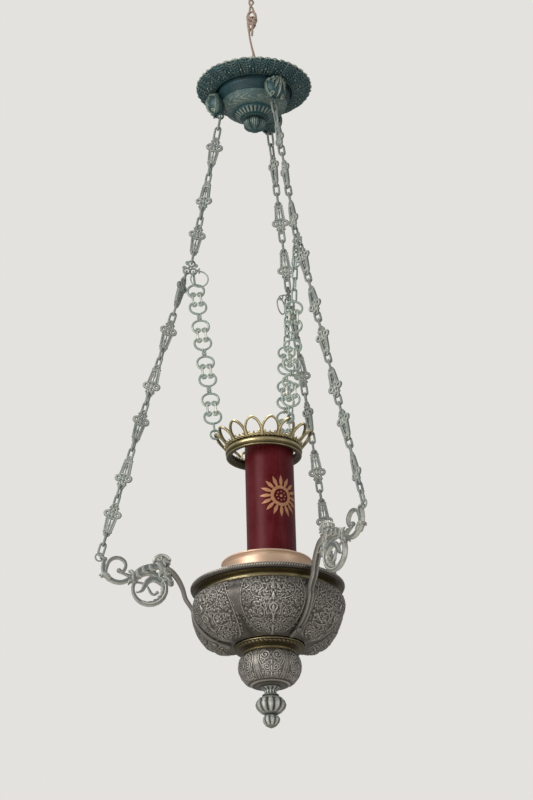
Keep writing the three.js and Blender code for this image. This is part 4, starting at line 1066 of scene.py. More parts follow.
# Crown chains: mirrored C scrolls of thin wire, their curled ends tied by two small links
crownChainFacts = {
    "back": 28, "wire": 1.9, "hook": (76, 256), "hookRadius": 7.2, "ringWire": 1.4,
    "turns": {"left": 0, "right": 56, "back": -64},  # degrees each arm's scrolls are turned about their chain
    "pairs": {"left": (50, 114, 178, 243), "right": (121, 185, 243), "back": (121, 185, 243)},
}

halfScroll = [
    (0, 26.1), (6.2, 24.8), (11.2, 21), (13.2, 15.6), (12.4, 10.6), (9.6, 6.6), (5.6, 5.6), (2.4, 7.4),
    (2.6, 10.4), (5.6, 11.6), (8.2, 10.2),
]


def scrollPair():
    wire = crownChainFacts["wire"]
    shapes = []
    for sign in (-1, 1):
        for up in (-1, 1):
            scroll = curved(np.array(halfScroll) * (sign, up), 5)
            shapes.append(roundStrip(inPlane(scroll), 9, wire, (0, 0, 1), 0.55))
        tie = moved(wireOval(2.6, 1.5, 7.4, 22, 8), [[0, 0, 1], [0, 1, 0], [-1, 0, 0]], (sign * 6.6, 0, 0))
        tie[0][:, 3] = 0.8
        shapes.append(tie)
    return joinShapes(shapes)


def makeCrownChain(pairs, turn):
    hook, ringWire = crownChainFacts["hook"], crownChainFacts["ringWire"]
    start = towards(fromJunction(plateHoles["inner"]), hook, chainFacts["slack"])
    down, length, at = straightLine(start, hook)
    pair = scrollPair()
    shapes = [placed(pair, at(d), -down, turn) for d in pairs]
    for low, high in zip(pairs[:-1], pairs[1:]):
        middle = (low + high) / 2
        for shift in (-1.9, 1.9):
            ring = moved(wireRing((0, 0), 4.7, ringWire, 26, 9), None, (0, 0, shift))
            shapes.append(placed(ring, at(middle), -down, 90 + turn))
    shapes += ovalsBetween(at, -down, 0, pairs[0] - crownChainFacts["back"] + 1.4, 90, 1.5)
    hookTop = length - crownChainFacts["hookRadius"]
    lastBack = pairs[-1] + crownChainFacts["back"]
    lastOval = wireOval(3.6, ringWire, (hookTop - lastBack + 4) / 2)
    shapes.append(placed(lastOval, at((hookTop + lastBack) / 2), -down, 90))
    for shift in (-1.3, 1.3):
        ring = moved(wireRing((0, 0), crownChainFacts["hookRadius"], ringWire, 34, 9), None, (0, 0, shift))
        shapes.append(placed(ring, at(length), -down))
    return joinShapes(shapes)


for side, azimuth in arms.items():
    upper, lower = (
        chainStretch(*ends, links, discs, twists)
        for ends, links, discs, twists in zip(
            ((chainFacts["top"], upperEnd), (lowerStart, lowerEnd)),
            (chainFacts["upperLinks"], chainFacts["lowerLinks"]), linkHang[side], linkTwists[side],
        )
    )
    crownChain = makeCrownChain(crownChainFacts["pairs"][side], crownChainFacts["turns"][side])
    for node, making, shape, body, finish in (
        ("chain_upper", "cast", upper, "chain", "patinatedChainBrass"),
        ("chain_lower", "cast", lower, "chain", "patinatedChainBrass"),
        ("junction", "pierced", junctionShape, "chain", "patinatedChainBrass"),
        ("end_ring", "bent", lastRing, "chain", "patinatedChainBrass"),
        ("loose_ring", "bent", looseRing, "loose_ring", "patinatedWire"),
        ("crown_chain", "bent", crownChain, "crown_chain", "patinatedWire"),
    ):
        name = f"{node}_{side}"
        makePiece(f"{name}_{making}", turnedBy(shape, azimuth), f"{body}_{side}", finish, [name])
print("stage: chains made")

# Crown: a polished half-round moulding with a painted highlight along it, under a gallery of pointed openwork
# petals
crownLook = {"petals": 15, "foot": (57, 232.6), "tip": (76, 256), "half": 10.9, "strip": 1.7, "deep": 2.0}
crownLine = rounded(
    [
        (50.5, 218), (54, 216.8), (57.4, 216.4), (59.4, 217.4), (59, 219), (57.4, 220), (58.6, 221.4),
        (60.1, 223.6), (60.3, 226.4), (59, 229.2), (56.6, 230.8), (53.5, 231), (50.8, 229.2), (52, 224),
    ],
    0.5, 2, True,
)


# A painted highlight along the middle of the moulding's outer face and on its lip, over a dark ground
def crownPaintedHighlight(angle, share, radius, height):
    band = np.exp(-(((height - 225.5) / 3.4) ** 2))
    lipHighlight = np.exp(-(((height - 217.4) / 0.9) ** 2))
    outer = radius > 56
    return np.zeros(radius.shape), 0.18 + outer * (0.62 * band + 0.5 * lipHighlight)


makePiece("crown_ring_spun", turned(crownLine, 240, crownPaintedHighlight), "crown", "spunAgedBrass", ["crown_ring"])


def makeGallery():
    footRadius, footHeight = crownLook["foot"]
    across, above = crownLook["tip"][0] - footRadius, crownLook["tip"][1] - footHeight
    reach = math.hypot(across, above)
    lean = math.atan2(across, above)
    axes = [[0, 1, 0], [math.sin(lean), 0, math.cos(lean)], [math.cos(lean), 0, -math.sin(lean)]]
    half = crownLook["half"]
    right = [
        (half - 0.6, 0.2), (half + 1.3, reach * 0.25), (half + 1.2, reach * 0.48), (half - 1.8, reach * 0.74),
        (half - 6.2, reach * 0.91),
    ]
    outline = curved(right + [(0, reach - 0.6)] + [(-x, y) for x, y in right[::-1]], 6)
    strip = np.array([(1, -0.8), (1, 0.8), (0.7, 1), (-0.7, 1), (-1, 0.8), (-1, -0.8), (-0.7, -1), (0.7, -1)])
    tones = [0.75, 0.75, 0.95, 0.25, 0.15, 0.15, 0.25, 0.95]
    petal = [swept(inPlane(outline), strip, (crownLook["strip"], crownLook["deep"]), (0, 0, -1), tone=tones)]
    for x, y, size in (
        (0, 3.4, 1.9), (3.2, 2.6, 1.5), (-3.2, 2.6, 1.5), (6.0, 2.2, 1.3), (-6.0, 2.2, 1.3), (0, 5.6, 1.2),
    ):
        petal.append(ball((x, y, 0), (size, size * 1.2, 1.3), 10))
    for sign in (-1, 1):
        curl = spiralLine((sign * 7.4, 5.4), 2.2, 0.5, 270, sign * 1.0, 16)
        petal.append(roundStrip(inPlane(curl), 7, taper(16, 1.0, 0.7), (0, 0, 1), 0.9))
    one = moved(joinShapes(petal), axes, (footRadius, 0, footHeight))
    return [turnedBy(one, arms["left"] + i * 360 / crownLook["petals"]) for i in range(crownLook["petals"])]


def galleryRelief(angle, share, radius, height):
    leafy = 0.5 + 0.5 * np.cos(60 * angle + 2.0 * height)
    return 0.5 * leafy, 0.35 + 0.5 * leafy


galleryFoot = rounded([(54, 231.4), (58.6, 231.4), (59.8, 233.4), (60.4, 235.4), (56.4, 234.4)], 0.5, 1, True)
makePiece(
    "crown_gallery_pierced", makeGallery() + [turned(galleryFoot, 360, galleryRelief)], "crown",
    "spunAgedBrass", ["crown_gallery"],
)
print("stage: crown made")

# Candle: red shell, wax, wick and the stamped sunburst. It stands a little off the lamp's axis.
candleFacts = {
    "offset": (8, 0, 0), "inside": 35.5, "outside": 38, "foot": 42.6, "top": 237, "waxRadius": 35.1,
}
tubeLine = rounded(
    [(candleFacts[wall], candleFacts[level]) for wall, level in (
        ("inside", "foot"), ("outside", "foot"), ("outside", "top"), ("inside", "top"),
    )],
    1.0, 1, True,
)
tube = moved(turned(tubeLine, 128), None, candleFacts["offset"])
makePiece("candle_tube_moulded", tube, "candle", "mouldedRedAcrylic", ["candle_tube"])
waxLine = rounded(
    [
        (0, candleFacts["foot"]), (candleFacts["waxRadius"], candleFacts["foot"]),
        (candleFacts["waxRadius"], 205), (34, 204.4), (20, 202.6), (6, 203.4), (2.4, 204.6), (2.2, 194.6),
        (0, 194.6),
    ],
    1.5, 1,
)
wax = moved(turned(waxLine, 96), None, candleFacts["offset"])
makePiece("candle_wax_poured", wax, "candle", "pouredParaffin", ["candle_wax"])
wickPath = curved([(8, 0, 195.6), (8, 0, 204), (8.2, 0.2, 210), (8.1, 0, 214.6)], 8)
wickShape = laidRope(wickPath, 1.2, 5)
wickShape[0][:, 3] *= 1 - smoothStep(wickShape[0][:, 2], 207, 211)
makePiece("wick_braided", wickShape, "candle", "braidedCotton", ["wick"])

sunburst = {
    "direction": -64, "height": 138.5, "rays": 16, "root": 16.4, "tip": 34, "petal": 2.75, "ring": 16.8,
    "hole": 11.8, "inner": 38.15, "thick": 0.5, "dots": 8, "dotRing": 7, "dotRadius": 1.1,
    "middleRadius": 2.2, "loops": 5,
}


# Foil shapes drawn flat in mm are wrapped round the tube
def wrapped(outline, hole=None):
    inner, outer = sunburst["inner"], sunburst["inner"] + sunburst["thick"]
    hole = np.broadcast_to(outline.mean(0), outline.shape) if hole is None else hole
    steps = np.linspace(0, 1, sunburst["loops"])[:, None, None]
    loops = list(hole[None] * (1 - steps) + outline[None] * steps)
    rows = [(loop, outer) for loop in loops] + [(loop, inner) for loop in loops[::-1]]
    points = []
    for loop, radius in rows:
        angle = loop[:, 0] / sunburst["inner"]
        tone = np.full(len(loop), evenTone)
        points.append(np.column_stack([radius * np.cos(angle), radius * np.sin(angle), loop[:, 1], tone]))
    return np.vstack(points), gridFaces(len(rows), len(outline), True), noFaces


def makeSunburst():
    circle = circleLine((0, 0), 1, 96)
    shapes = [wrapped(circle * sunburst["ring"], circle * sunburst["hole"])]
    root, tip, half = sunburst["root"], sunburst["tip"], sunburst["petal"]
    side = [
        (root, 1.0), (root + 3.5, half * 0.75), (root + 8, half), (root + 12, half * 0.72),
        (tip - 2, half * 0.28), (tip, 0.05),
    ]
    petal = curved(side + [(x, -y) for x, y in side[::-1]], 4, True)
    for i in range(sunburst["rays"]):
        turn = 2 * math.pi * i / sunburst["rays"]
        c, s = math.cos(turn), math.sin(turn)
        shapes.append(wrapped(petal @ np.array([(c, s), (-s, c)])))
    for i in range(sunburst["dots"]):
        turn = i / sunburst["dots"] * 2 * math.pi
        centre = (sunburst["dotRing"] * math.cos(turn), sunburst["dotRing"] * math.sin(turn))
        shapes.append(wrapped(circleLine(centre, sunburst["dotRadius"], 14)))
    shapes.append(wrapped(circleLine((0, 0), sunburst["middleRadius"], 20)))
    place = np.add(candleFacts["offset"], (0, 0, sunburst["height"]))
    return moved(turnedBy(joinShapes(shapes), sunburst["direction"]), None, place)


makePiece("sunburst_label_stamped", makeSunburst(), "candle", "stampedGoldFoil", ["sunburst_label"])

# Copper pan that the candle stands on
panLine = rounded(
    [
        (0, 42.2), (40, 41.8), (64, 41.6), (68, 41.0), (70.4, 39.8), (70.6, 38.2), (69, 36.8), (67, 33),
        (66, 26), (66, 10.8), (63.5, 10.8), (63.5, 27), (65.5, 37.6), (64, 38.6), (0, 39),
    ],
    0.8, 2,
)
makePiece("pan_spun", turned(panLine, 180), "pan", "spunCopper", ["pan"])
print("stage: candle and pan made")

# Bowl: a roped rim over a brass cavetto, a lobed embossed body, and under it a chased collar, a neck, a knop
# and finials on a rod
bowlLook = {
    "lobes": 6, "valley": 0.06, "fadeTop": -16, "fullTop": -27, "fullFoot": -66, "fadeFoot": -89,
    "widest": 119.6, "reliefHeight": 1.35, "drawnWide": 125, "leafGrid": 3.5, "ropeTwists": 182,
    "collarBeads": 48, "knopPanels": 6, "knopFrom": 273.5, "knopRelief": 1.1, "knopGrid": 2.7,
    # bands as the depths where each starts, is full, is full still and ends
    "foliageBand": (17, 20, 87, 90), "knopBand": (107.6, 109, 150, 152),
    "knopFootBand": (151, 152, 154.6, 155.6),
}
rimLine = rounded(
    [
        (107.5, -5.2), (112, -5.2), (115.2, -5.0), (117, -3.2), (118.2, -0.6), (117.8, 1.6), (116, 2.8),
        (113.8, 2.4), (112, 0.6), (107.5, -1.6),
    ],
    0.45, 2, True,
)


def rimRelief(angle, share, radius, height):
    rope = smoothStep(radius, 113.4, 114.6) * smoothStep(height, -2.6, -1.2)
    twist = 0.5 + 0.5 * np.cos(bowlLook["ropeTwists"] * angle + 1.15 * (radius - 113) - 1.15 * height)
    return rope * (0.6 * twist - 0.5), 0.5 + rope * (0.6 * twist - 0.15)


makePiece("rim_ring_roped", turned(rimLine, 1344, rimRelief), "bowl", "darkenedBrass", ["rim_ring"])
cavettoLine = rounded(
    [
        (98, -14.2), (103.6, -14.2), (102.6, -12.4), (103.4, -9.6), (107, -7.6), (113.6, -6.6), (113.8, -6.2),
        (106, -5.8), (99.5, -5.8),
    ],
    0.5, 2, True,
)


# A plain band with painted shade at its top, under what stands over it, and a painted highlight lower down,
# between two heights, outside a radius
def paintedShadeThenHighlight(dark, pale, low, high, beyond):
    def relief(angle, share, radius, height):
        return np.zeros(radius.shape), dark + pale * smoothStep(height, low, high) * (radius > beyond)
    return relief


# Painted shade on the cavetto's top, under the rim, and a painted highlight on its lower face
cavetto = turned(cavettoLine, 240, paintedShadeThenHighlight(0.34, 0.5, -10.5, -13, 101))
makePiece("cavetto_band_spun", cavetto, "bowl", "spunAgedBrass", ["cavetto_band"])
insertLine = rounded(
    [(0, 7.4), (68, 7.4), (80, -1), (98, -3.6), (104.8, -3.2), (110, 1.6), (108, 4.2), (97, -0.6), (82, 2.4),
     (70, 10.4), (0, 10.4)],
    1.0, 2,
)
makePiece("bowl_insert_spun", turned(insertLine, 180), "bowl", "spunAgedBrass", ["bowl_insert"])

outsideLine = rounded(
    [
        (104.5, -14.8), (109.6, -16.6), (114.5, -20.5), (118, -26), (119.6, -33), (119.6, -39), (118.4, -45),
        (112, -58.5), (100, -71.5), (79, -83.4), (54, -91.5),
    ],
    0.8, 2,
)
insideLine = rounded(
    [
        (53, -88.5), (86, -75.4), (103.5, -62.5), (113.6, -46), (116, -34), (108, -20.6), (99, -16.6),
        (99, -14.8),
    ], 6, 0,
)
downOutside = np.concatenate([[0], np.cumsum(np.linalg.norm(np.diff(outsideLine, axis=0), axis=1))])
fieldWide, fieldTall, fieldPitch = 126, downOutside[-1] + 1, 0.55


# How far the middle of a lobe swells out at a height, as a share of the radius
lobeSwell = np.array([
    (-92, 0), (-88, 0.11), (-83.4, 0.12), (-71.5, 0.09), (-58.5, 0.055), (-45, 0.035), (-33, 0.02), (-20, 0),
])


# How far the valleys between the lobes cut in at a height, as a share of the radius
def lobeDepth(height):
    fromTop = (bowlLook["fadeTop"] - height) / (bowlLook["fadeTop"] - bowlLook["fullTop"])
    fromFoot = (height - bowlLook["fadeFoot"]) / (bowlLook["fullFoot"] - bowlLook["fadeFoot"])
    fade = np.clip(fromTop, 0, 1) * np.clip(fromFoot, 0, 1)
    return bowlLook["valley"] * fade * fade * (3 - 2 * fade)


# Embossed foliage of one lobe, drawn flat: coils and leaves over a close ground of small leaves, inside a
# double frame line. Outside the frame the metal is plain but for a few leaves.
lobeFrame = [(34, 3), (44, 13), (50, 29), (52, 46), (50, 64), (44, 82), (34, 98), (20, 110), (0, 114)]


# Adds a stroke drawn on the right of a panel's middle, or its mirror image when sign is -1
def addStroke(strokes, centre, sign, line, widths, height):
    strokes.append((np.asarray(line, float) * (sign, 1) + (centre, 0), widths, height))


def leafStroke(x, y, heading, reach, half, height):
    direction = np.array([math.cos(heading), math.sin(heading)])
    side = np.array([-direction[1], direction[0]]) * reach * 0.22
    start = np.array([x, y])
    middle = start + direction * reach * 0.5 + side
    return curved([start, middle, start + direction * reach], 4), [0.4, half, 0.3], height


def foliageStrokes():
    centre = fieldWide / 2
    strokes = []
    frameLine = curved(lobeFrame, 8)
    pitch = bowlLook["leafGrid"]
    for x in np.arange(0.5, 54, pitch):
        for y in np.arange(4, 113, pitch):
            jx, jy = x + pitch * (chance.random() - 0.5), y + pitch * (chance.random() - 0.5)
            if jx > np.interp(jy, frameLine[:, 1], frameLine[:, 0]) - 3:
                continue
            heading, reach = 2 * math.pi * chance.random(), 3.8 + 2.2 * chance.random()
            leaf = leafStroke(jx, jy, heading, reach, 1.5, 0.4 + 0.6 * chance.random())
            for sign in (-1, 1):
                addStroke(strokes, centre, sign, *leaf)
    for sign in (-1, 1):
        addStroke(strokes, centre, sign, frameLine, [1.2, 1.2], 0.95)
        addStroke(strokes, centre, sign, frameLine - (2.9, -0.6), [0.6, 0.6], 0.6)
        for x, y, size, start, turns in (
            (23, 30, 15, 100, -1.5), (24, 66, 14, 60, 1.6), (41, 48, 8, 200, 1.3), (12, 91, 8, 20, -1.3),
            (33, 88, 7, 120, 1.2), (9, 50, 6, 250, 1.2), (38, 14, 6, 40, 1.1),
        ):
            coil = spiralLine((x, y), size, 1.8, start, turns, 40)
            addStroke(strokes, centre, sign, coil, [2.1, 1.9, 2.3], -1)  # a clear channel under the stem
            addStroke(strokes, centre, sign, coil, [1.4, 1.1, 1.8], 0.75)
            for root in coil[3:38:3]:
                distance = np.linalg.norm(root - (x, y))
                direction = (root - (x, y)) / max(distance, tiny)
                side = np.array([-direction[1], direction[0]]) * np.sign(turns)
                length = (3.0 + 3.2 * chance.random()) * (0.45 + 0.55 * distance / size)
                bend = direction * length + side * length * (0.5 + 0.7 * chance.random())
                leaf = curved([root, root + bend * 0.5 + direction * 0.8, root + bend], 5)
                addStroke(strokes, centre, sign, leaf, [0.7, 1.7, 0.5], 0.6 + 0.4 * chance.random())
        for k in range(12):  # leaves that grow from the frame into the plain corners
            x, y = frameLine[int((0.1 + 0.82 * k / 12) * len(frameLine))]
            for turn in (-0.5, 0.35):
                heading, reach = turn + 0.9 * (chance.random() - 0.5), 4.6 + 2.5 * chance.random()
                addStroke(strokes, centre, sign, *leafStroke(x + 1, y, heading, reach, 1.4, 0.75))
        for k in range(9):
            heading = math.pi * (0.5 + 0.35 * (k % 3 - 1))
            addStroke(
                strokes, centre, sign, *leafStroke(60 - 1.5 * (k % 3), 58 + 6 * k, heading, 6, 1.6, 0.8),
            )
    for y in (8, 22, 38, 54, 70, 86, 98):
        strokes.append((np.array([(centre, y), (centre, y + 11)]), [0.8, 2.8, 0.6], 1.15))
    strokes.append((circleLine((centre, 58), 5.5, 24), [1.1, 1.1], 1.15))
    return strokes


foliage = strokeField(fieldWide, fieldTall, fieldPitch, foliageStrokes())
foliageShade = creased(foliage, 16)
matting = chance.random(foliage.shape)  # punched ground between the leaves


# turned() lays the body's outline from the inside's top round to the outside's top, so the outside comes last
def bowlRelief(angle, share, radius, height):
    turn = ((np.degrees(angle) - arms["left"]) / (360 / bowlLook["lobes"])) % 1
    outside = np.zeros(radius.shape, bool)
    outside[-len(outsideLine):] = True
    wave = np.abs(np.sin(math.pi * turn)) ** 0.7
    dip = lobeDepth(height) * (1 - wave) * radius
    swell = np.interp(height, lobeSwell[:, 0], lobeSwell[:, 1]) * np.sin(math.pi * turn) ** 4 * radius
    narrowing = radius / bowlLook["widest"]
    wide = np.clip(narrowing, 0.5, 1) * 0.5 + 0.5
    x = fieldWide / 2 + (turn - 0.5) * bowlLook["drawnWide"] * narrowing / wide
    y = np.interp(-height, -outsideLine[:, 1], downOutside)
    field = readField(foliage, x, y, fieldPitch)
    shade = readField(foliageShade, x, y, fieldPitch)
    ground = readField(matting, x, y, fieldPitch) * (field < 0.12)
    fade = within(-height, *bowlLook["foliageBand"]) * outside
    out = swell - dip * outside + fade * (bowlLook["reliefHeight"] * field - 0.4 - 0.12 * ground)
    # Painted shade in the foliage's creases and in the valleys between the lobes, a painted highlight on its
    # crests, and the punched ground darker
    tone = 0.44 + fade * (0.72 * shade + 0.1 * field - 0.06 * ground) - 0.2 * (1 - wave) ** 2 * outside
    return out, tone


lobedBody = turned(np.vstack([outsideLine, insideLine]), 1080, bowlRelief)
makePiece("bowl_body_embossed", lobedBody, "bowl", "embossedDarkBrass", ["bowl_body"], 60)
print("stage: bowl made")


# A row of beads between two heights with a pale edge over them, outside a radius of 20 mm
def beadsRound(count, depth, low, high, slant=0.0):
    def relief(angle, share, radius, height):
        band = within(height, low, low + 0.8, high - 0.8, high) * (radius > 20)
        across = 2 * ((angle * count / (2 * math.pi) + slant * height) % 1) - 1
        bead = np.sqrt(np.clip(1 - across**2, 0, 1))
        edge = np.exp(-(((height - high - 1.6) / 0.9) ** 2)) * (radius > 20)
        return band * (depth * bead - depth * 0.6), 0.5 + band * (0.5 * bead - 0.46) + 0.5 * edge
    return relief


collarLine = rounded(
    [
        (5.5, -91.9), (50, -91.9), (52.6, -93.2), (53, -94.6), (51.6, -95.6), (52.8, -96.8), (52.6, -98.6),
        (49, -100.4), (5.5, -100.4),
    ],
    0.45, 2, True,
)
collar = turned(collarLine, 648, beadsRound(bowlLook["collarBeads"], 1.1, -100.4, -95.2, 0.09))
makePiece("beaded_collar_chased", collar, "bowl", "brownedBrass", ["beaded_collar"])
neckLine = rounded(
    [(5.5, -100.8), (45, -100.8), (41, -102.4), (38.5, -103.8), (39.4, -105.4), (41, -106.8), (5.5, -106.8)],
    0.5, 2, True,
)
# Painted shade on the neck's top, under the collar, and a painted highlight below it
neck = turned(neckLine, 160, paintedShadeThenHighlight(0.4, 0.3, -102, -104, 30))
makePiece("neck_spun", neck, "bowl", "brownedBrass", ["neck"])

knopLine = rounded(
    [
        (5.5, -107.2), (38, -107.2), (41.6, -108.4), (45, -112), (47.2, -118), (48, -125), (47.4, -132),
        (44, -140.6), (38.4, -148), (30, -153), (22, -155.6), (20, -156.6), (5.5, -156.6),
    ],
    0.5, 2, True,
)
knopWide, knopTall, knopPitch = 50.2, 52, 0.45


# One panel of the knop: two big C scrolls at the top over a close spray of leaves, plain ribs at its sides
def knopStrokes():
    centre = knopWide / 2
    strokes = []
    for x in np.arange(0.4, 17, bowlLook["knopGrid"]):
        for y in np.arange(9, 47, bowlLook["knopGrid"]):
            jx, jy = x + 2 * (chance.random() - 0.5), y + 2 * (chance.random() - 0.5)
            if jx > np.interp(jy, [4, 24, 48], [18, 19.5, 15]):
                continue
            heading, reach = 2 * math.pi * chance.random(), 2.8 + 1.6 * chance.random()
            leaf = leafStroke(jx, jy, heading, reach, 1.1, 0.5 + 0.3 * chance.random())
            for sign in (-1, 1):
                addStroke(strokes, centre, sign, *leaf)
    for sign in (-1, 1):
        for line, half in (  # scrolls with a line engraved along them
            (spiralLine((9.4, 11.4), 7.4, 1.6, -70, 1.4, 40), 1.9),
            (curved([(13, 6), (17.4, 10), (18, 19), (15, 26)], 6), 1.5),
            (spiralLine((7.4, 30), 5.4, 1.2, 120, -1.3, 30), 1.2),
            (spiralLine((8.4, 42), 3.8, 0.9, 60, 1.2, 26), 1.0),
        ):
            addStroke(strokes, centre, sign, line, [half * 2.2, half * 2], 0.85)
            addStroke(strokes, centre, sign, line, [half * 0.72, half * 0.5, half * 0.8], -1)
        addStroke(strokes, centre, sign, [(20.5, 1), (21.4, 22), (20.4, 38), (17, 51)], [0.8, 0.8], 0.7)
        plainRib = [(25.1, 1), (25.1, 51)]
        addStroke(strokes, centre, sign, plainRib, [3.6, 4.2, 2.8], 0.75)
    for y in (20, 29, 38):
        strokes.append((np.array([(centre, y), (centre, y + 7)]), [0.5, 1.9, 0.4], 1.1))
    return strokes


knopField = strokeField(knopWide, knopTall, knopPitch, knopStrokes())
knopShade = creased(knopField, 16)
knopLevels = [107, 112, 118, 125, 132, 141, 148, 153, 156.6]  # depth under the rim
knopDown = [0, 5, 11, 18, 25, 34, 42, 49, 52]  # and how far that is along the knop's outline


def knopRelief(angle, share, radius, height):
    turn = ((np.degrees(angle) - bowlLook["knopFrom"]) * bowlLook["knopPanels"] / 360 + 0.5) % 1
    y = np.interp(-height, knopLevels, knopDown)
    field = readField(knopField, turn * knopWide, y, knopPitch)
    shade = readField(knopShade, turn * knopWide, y, knopPitch)
    outside = radius > 21
    fade = within(-height, *bowlLook["knopBand"]) * outside
    footBand = within(-height, *bowlLook["knopFootBand"]) * outside
    foot = np.cos((height + 153.4) * 2.1) * footBand
    out = fade * (bowlLook["knopRelief"] * field - 0.5) + 0.35 * foot
    return out, 0.48 + fade * (0.7 * shade + 0.12 * field) + 0.25 * foot


makePiece(
    "lower_knop_embossed", turned(knopLine, 720, knopRelief), "bowl", "embossedDarkBrass", ["lower_knop"], 60,
)


# Upright flutes between two heights, outside the rod
def flutes(count, depth, low, high, power=1.0):
    def relief(angle, share, radius, height):
        band = within(height, low, low + 2, high - 2, high) * (radius > 6)
        ridge = np.abs(np.cos(count * angle / 2)) ** power
        return band * depth * (ridge - 1), 0.5 + band * (0.75 * ridge - 0.45)
    return relief


stemLine = rounded(
    [
        (5.5, -157), (15, -157), (15.2, -158.4), (13, -160), (9.4, -162), (9, -164.4), (9.6, -166.8),
        (13, -168.6), (12.6, -169.6), (5.5, -169.6),
    ],
    0.4, 2, True,
)
melonLine = rounded(
    [(0, -178), (5.5, -178), (5.5, -170), (10, -170), (12.4, -171), (13, -172.4), (18, -174), (21.6, -178),
     (23.4, -184), (21.8, -189.6), (18, -194), (12, -197.4), (9, -198.6), (0, -199)],
    0.45, 2,
)
buttonLine = rounded(
    [
        (0, -199.4), (8, -199.4), (11.8, -202), (13.4, -206), (12.2, -211), (8.4, -215.6), (4, -218),
        (0, -219.8),
    ],
    0.4, 2,
)
for name, line, sides, fluting in (
    ("fluted_stem", stemLine, 240, flutes(12, 1.1, -169, -157.6)),
    ("melon_finial", melonLine, 360, flutes(12, 2.6, -197.6, -173.4, 0.8)),
    ("button", buttonLine, 240, flutes(9, 1.4, -216.5, -200.5, 0.7)),
):
    makePiece(f"{name}_cast", turned(line, sides, fluting), "bowl", "castGreyBrass", [name])
rodLine = rounded([(0, -78), (5, -78), (5, -177.6), (0, -177.6)], 1.2, 0)
makePiece("centre_rod_drawn", turned(rodLine, 32), "bowl", "forgedIron", ["centre_rod"])
boredNut = np.array([(6.2, -88.1), (10.6, -88.1), (11, -87.5), (11, -81.6), (10.6, -81), (6.2, -81)])
makePiece("rod_nut_cut", turned(boredNut, 6), "bowl", "forgedIron", ["rod_nut"], 20)


# Straps lie in the valleys between the lobes, each held by a screw at its foot.
strapFacts = {
    "halfWide": 6.2, "halfThick": 3.7, "footWide": 4.5, "footThick": 2.0, "lift": 3.4,
    "above": [(153, 33), (147, 28.4), (139.6, 19.5), (133.7, 9.1), (129.3, -2), (125.4, -16.4)],
    "onBowl": [(119.6, -33), (118.4, -45), (112, -58.5), (100, -71.5), (79, -83.4), (59, -90)],
    "knob": [(0, -8), (2, -8), (2, 2.2), (4.6, 2.4), (5.6, 3.6), (5.4, 5.2), (3.6, 7.4), (0, 8.4)],
}
# The strap's section, thickness by width, with a ridge along each side of its face
strapSection = np.array([
    (-0.8, -1), (-0.1, -1), (0.6, -0.9), (1.0, -0.55), (0.86, -0.2), (0.8, 0), (0.86, 0.2), (1.0, 0.55),
    (0.6, 0.9), (-0.1, 1), (-0.8, 1), (-1, 0.7), (-1, -0.7),
])
# Tones: dark on the back that lies against the bowl, painted shade, and pale on the face's ridges, worn and
# with a painted highlight
strapTone = [0.2, 0.3, 0.42, 0.66, 0.42, 0.34, 0.42, 0.66, 0.42, 0.3, 0.2, 0.15, 0.15]


# The strap's middle line: down from the bracket, then lifted off the valley it lies in
def strapLine():
    valley = [np.array([radius * (1 - lobeDepth(height)), height]) for radius, height in strapFacts["onBowl"]]
    line = []
    for i, point in enumerate(valley):
        before, after = valley[max(0, i - 1)], valley[min(len(valley) - 1, i + 1)]
        run = (before - after) / np.linalg.norm(before - after)
        line.append(point + strapFacts["lift"] * np.array([run[1], -run[0]]))
    return np.vstack([strapFacts["above"], line])


def makeStrap():
    ends = strapLine()
    line = curved(ends, 8)
    share = np.linspace(0, 1, len(line))
    thick = np.interp(
        share, [0, 0.12, 0.42, 0.62, 1], [3.2, strapFacts["halfThick"], 3.2] + [strapFacts["footThick"]] * 2,
    )
    wide = np.interp(
        share, [0, 0.1, 0.42, 0.7, 0.9, 1],
        [4.6, strapFacts["halfWide"], 6, 4.9, strapFacts["footWide"], 3.2],
    )
    sizes = np.column_stack([thick, wide])
    strap = swept(inPlane(line), strapSection, sizes, (0, 0, 1), tone=strapTone)
    roll = roundStrip(inPlane(circleLine((153.4, 36.0), 2.6, 20, -60, 190)), 8, (1.4, 5.2), (0, 0, 1))
    before, foot, after = ends[-3:]
    tilt = math.atan2(before[1] - after[1], after[0] - before[0])
    knob = rounded(strapFacts["knob"], 0.5, 2)
    c, s = math.cos(tilt), math.sin(tilt)
    screw = moved(turned(knob, 40), [[c, 0, -s], [0, 1, 0], [s, 0, c]], (foot[0], 0, foot[1]))
    return uprightShape(joinShapes([strap, roll])), screw


# Brackets: a stem from the chain's loop sweeps round under a curl and ends in an arch of acanthus that
# carries a wheel with a leaf hook in it. A foliate bud sits over the strap. In mm, radius then height.
bracketFacts = {
    "stem": [
        (248.6, 48.4), (250.1, 43.2), (250.8, 33.6), (248.4, 25.6), (242.1, 18.4), (233.1, 12.8),
        (222.5, 11.6), (213.5, 15.1), (205, 18.6),
    ],
    "curl": [
        (246.6, 28), (245.4, 36.2), (241.6, 45.6), (234.6, 50.7), (225.5, 50.7), (218, 44.7), (216.5, 36.7),
        (220.3, 29.3), (225.4, 29.6),
    ],
    "arch": [(206, 15), (203.6, 20), (197, 28), (188.5, 33.4), (178, 36.2), (168, 37), (160, 40)],
    "wheel": (180, 0.6), "wheelRadius": 28.4, "waves": 16, "waveDepth": 2.6, "waveFrom": 6, "thick": 8.4,
    "hook": [
        (157, 2), (161.5, 8.4), (168, 14), (175, 16.4), (182.3, 13.4), (187.4, 6.4), (191.4, -1.4),
        (199, -5.4),
    ],
    "hookCurl": [(183, 4), (180.4, -2), (177, -7.4), (172, -8.6), (168.6, -5.6)],
    "mass": [(165, 42), (158.8, 32), (153.4, 23.6), (150.4, 15.6), (147.4, 8.2)],
}
barSection = roundSection(16)
barSection = np.sign(barSection) * np.abs(barSection) ** 0.62
# Pale along the bars' edges, worn and with a painted highlight
barTone = 0.36 + 0.5 * np.abs(barSection[:, 0]) ** 3


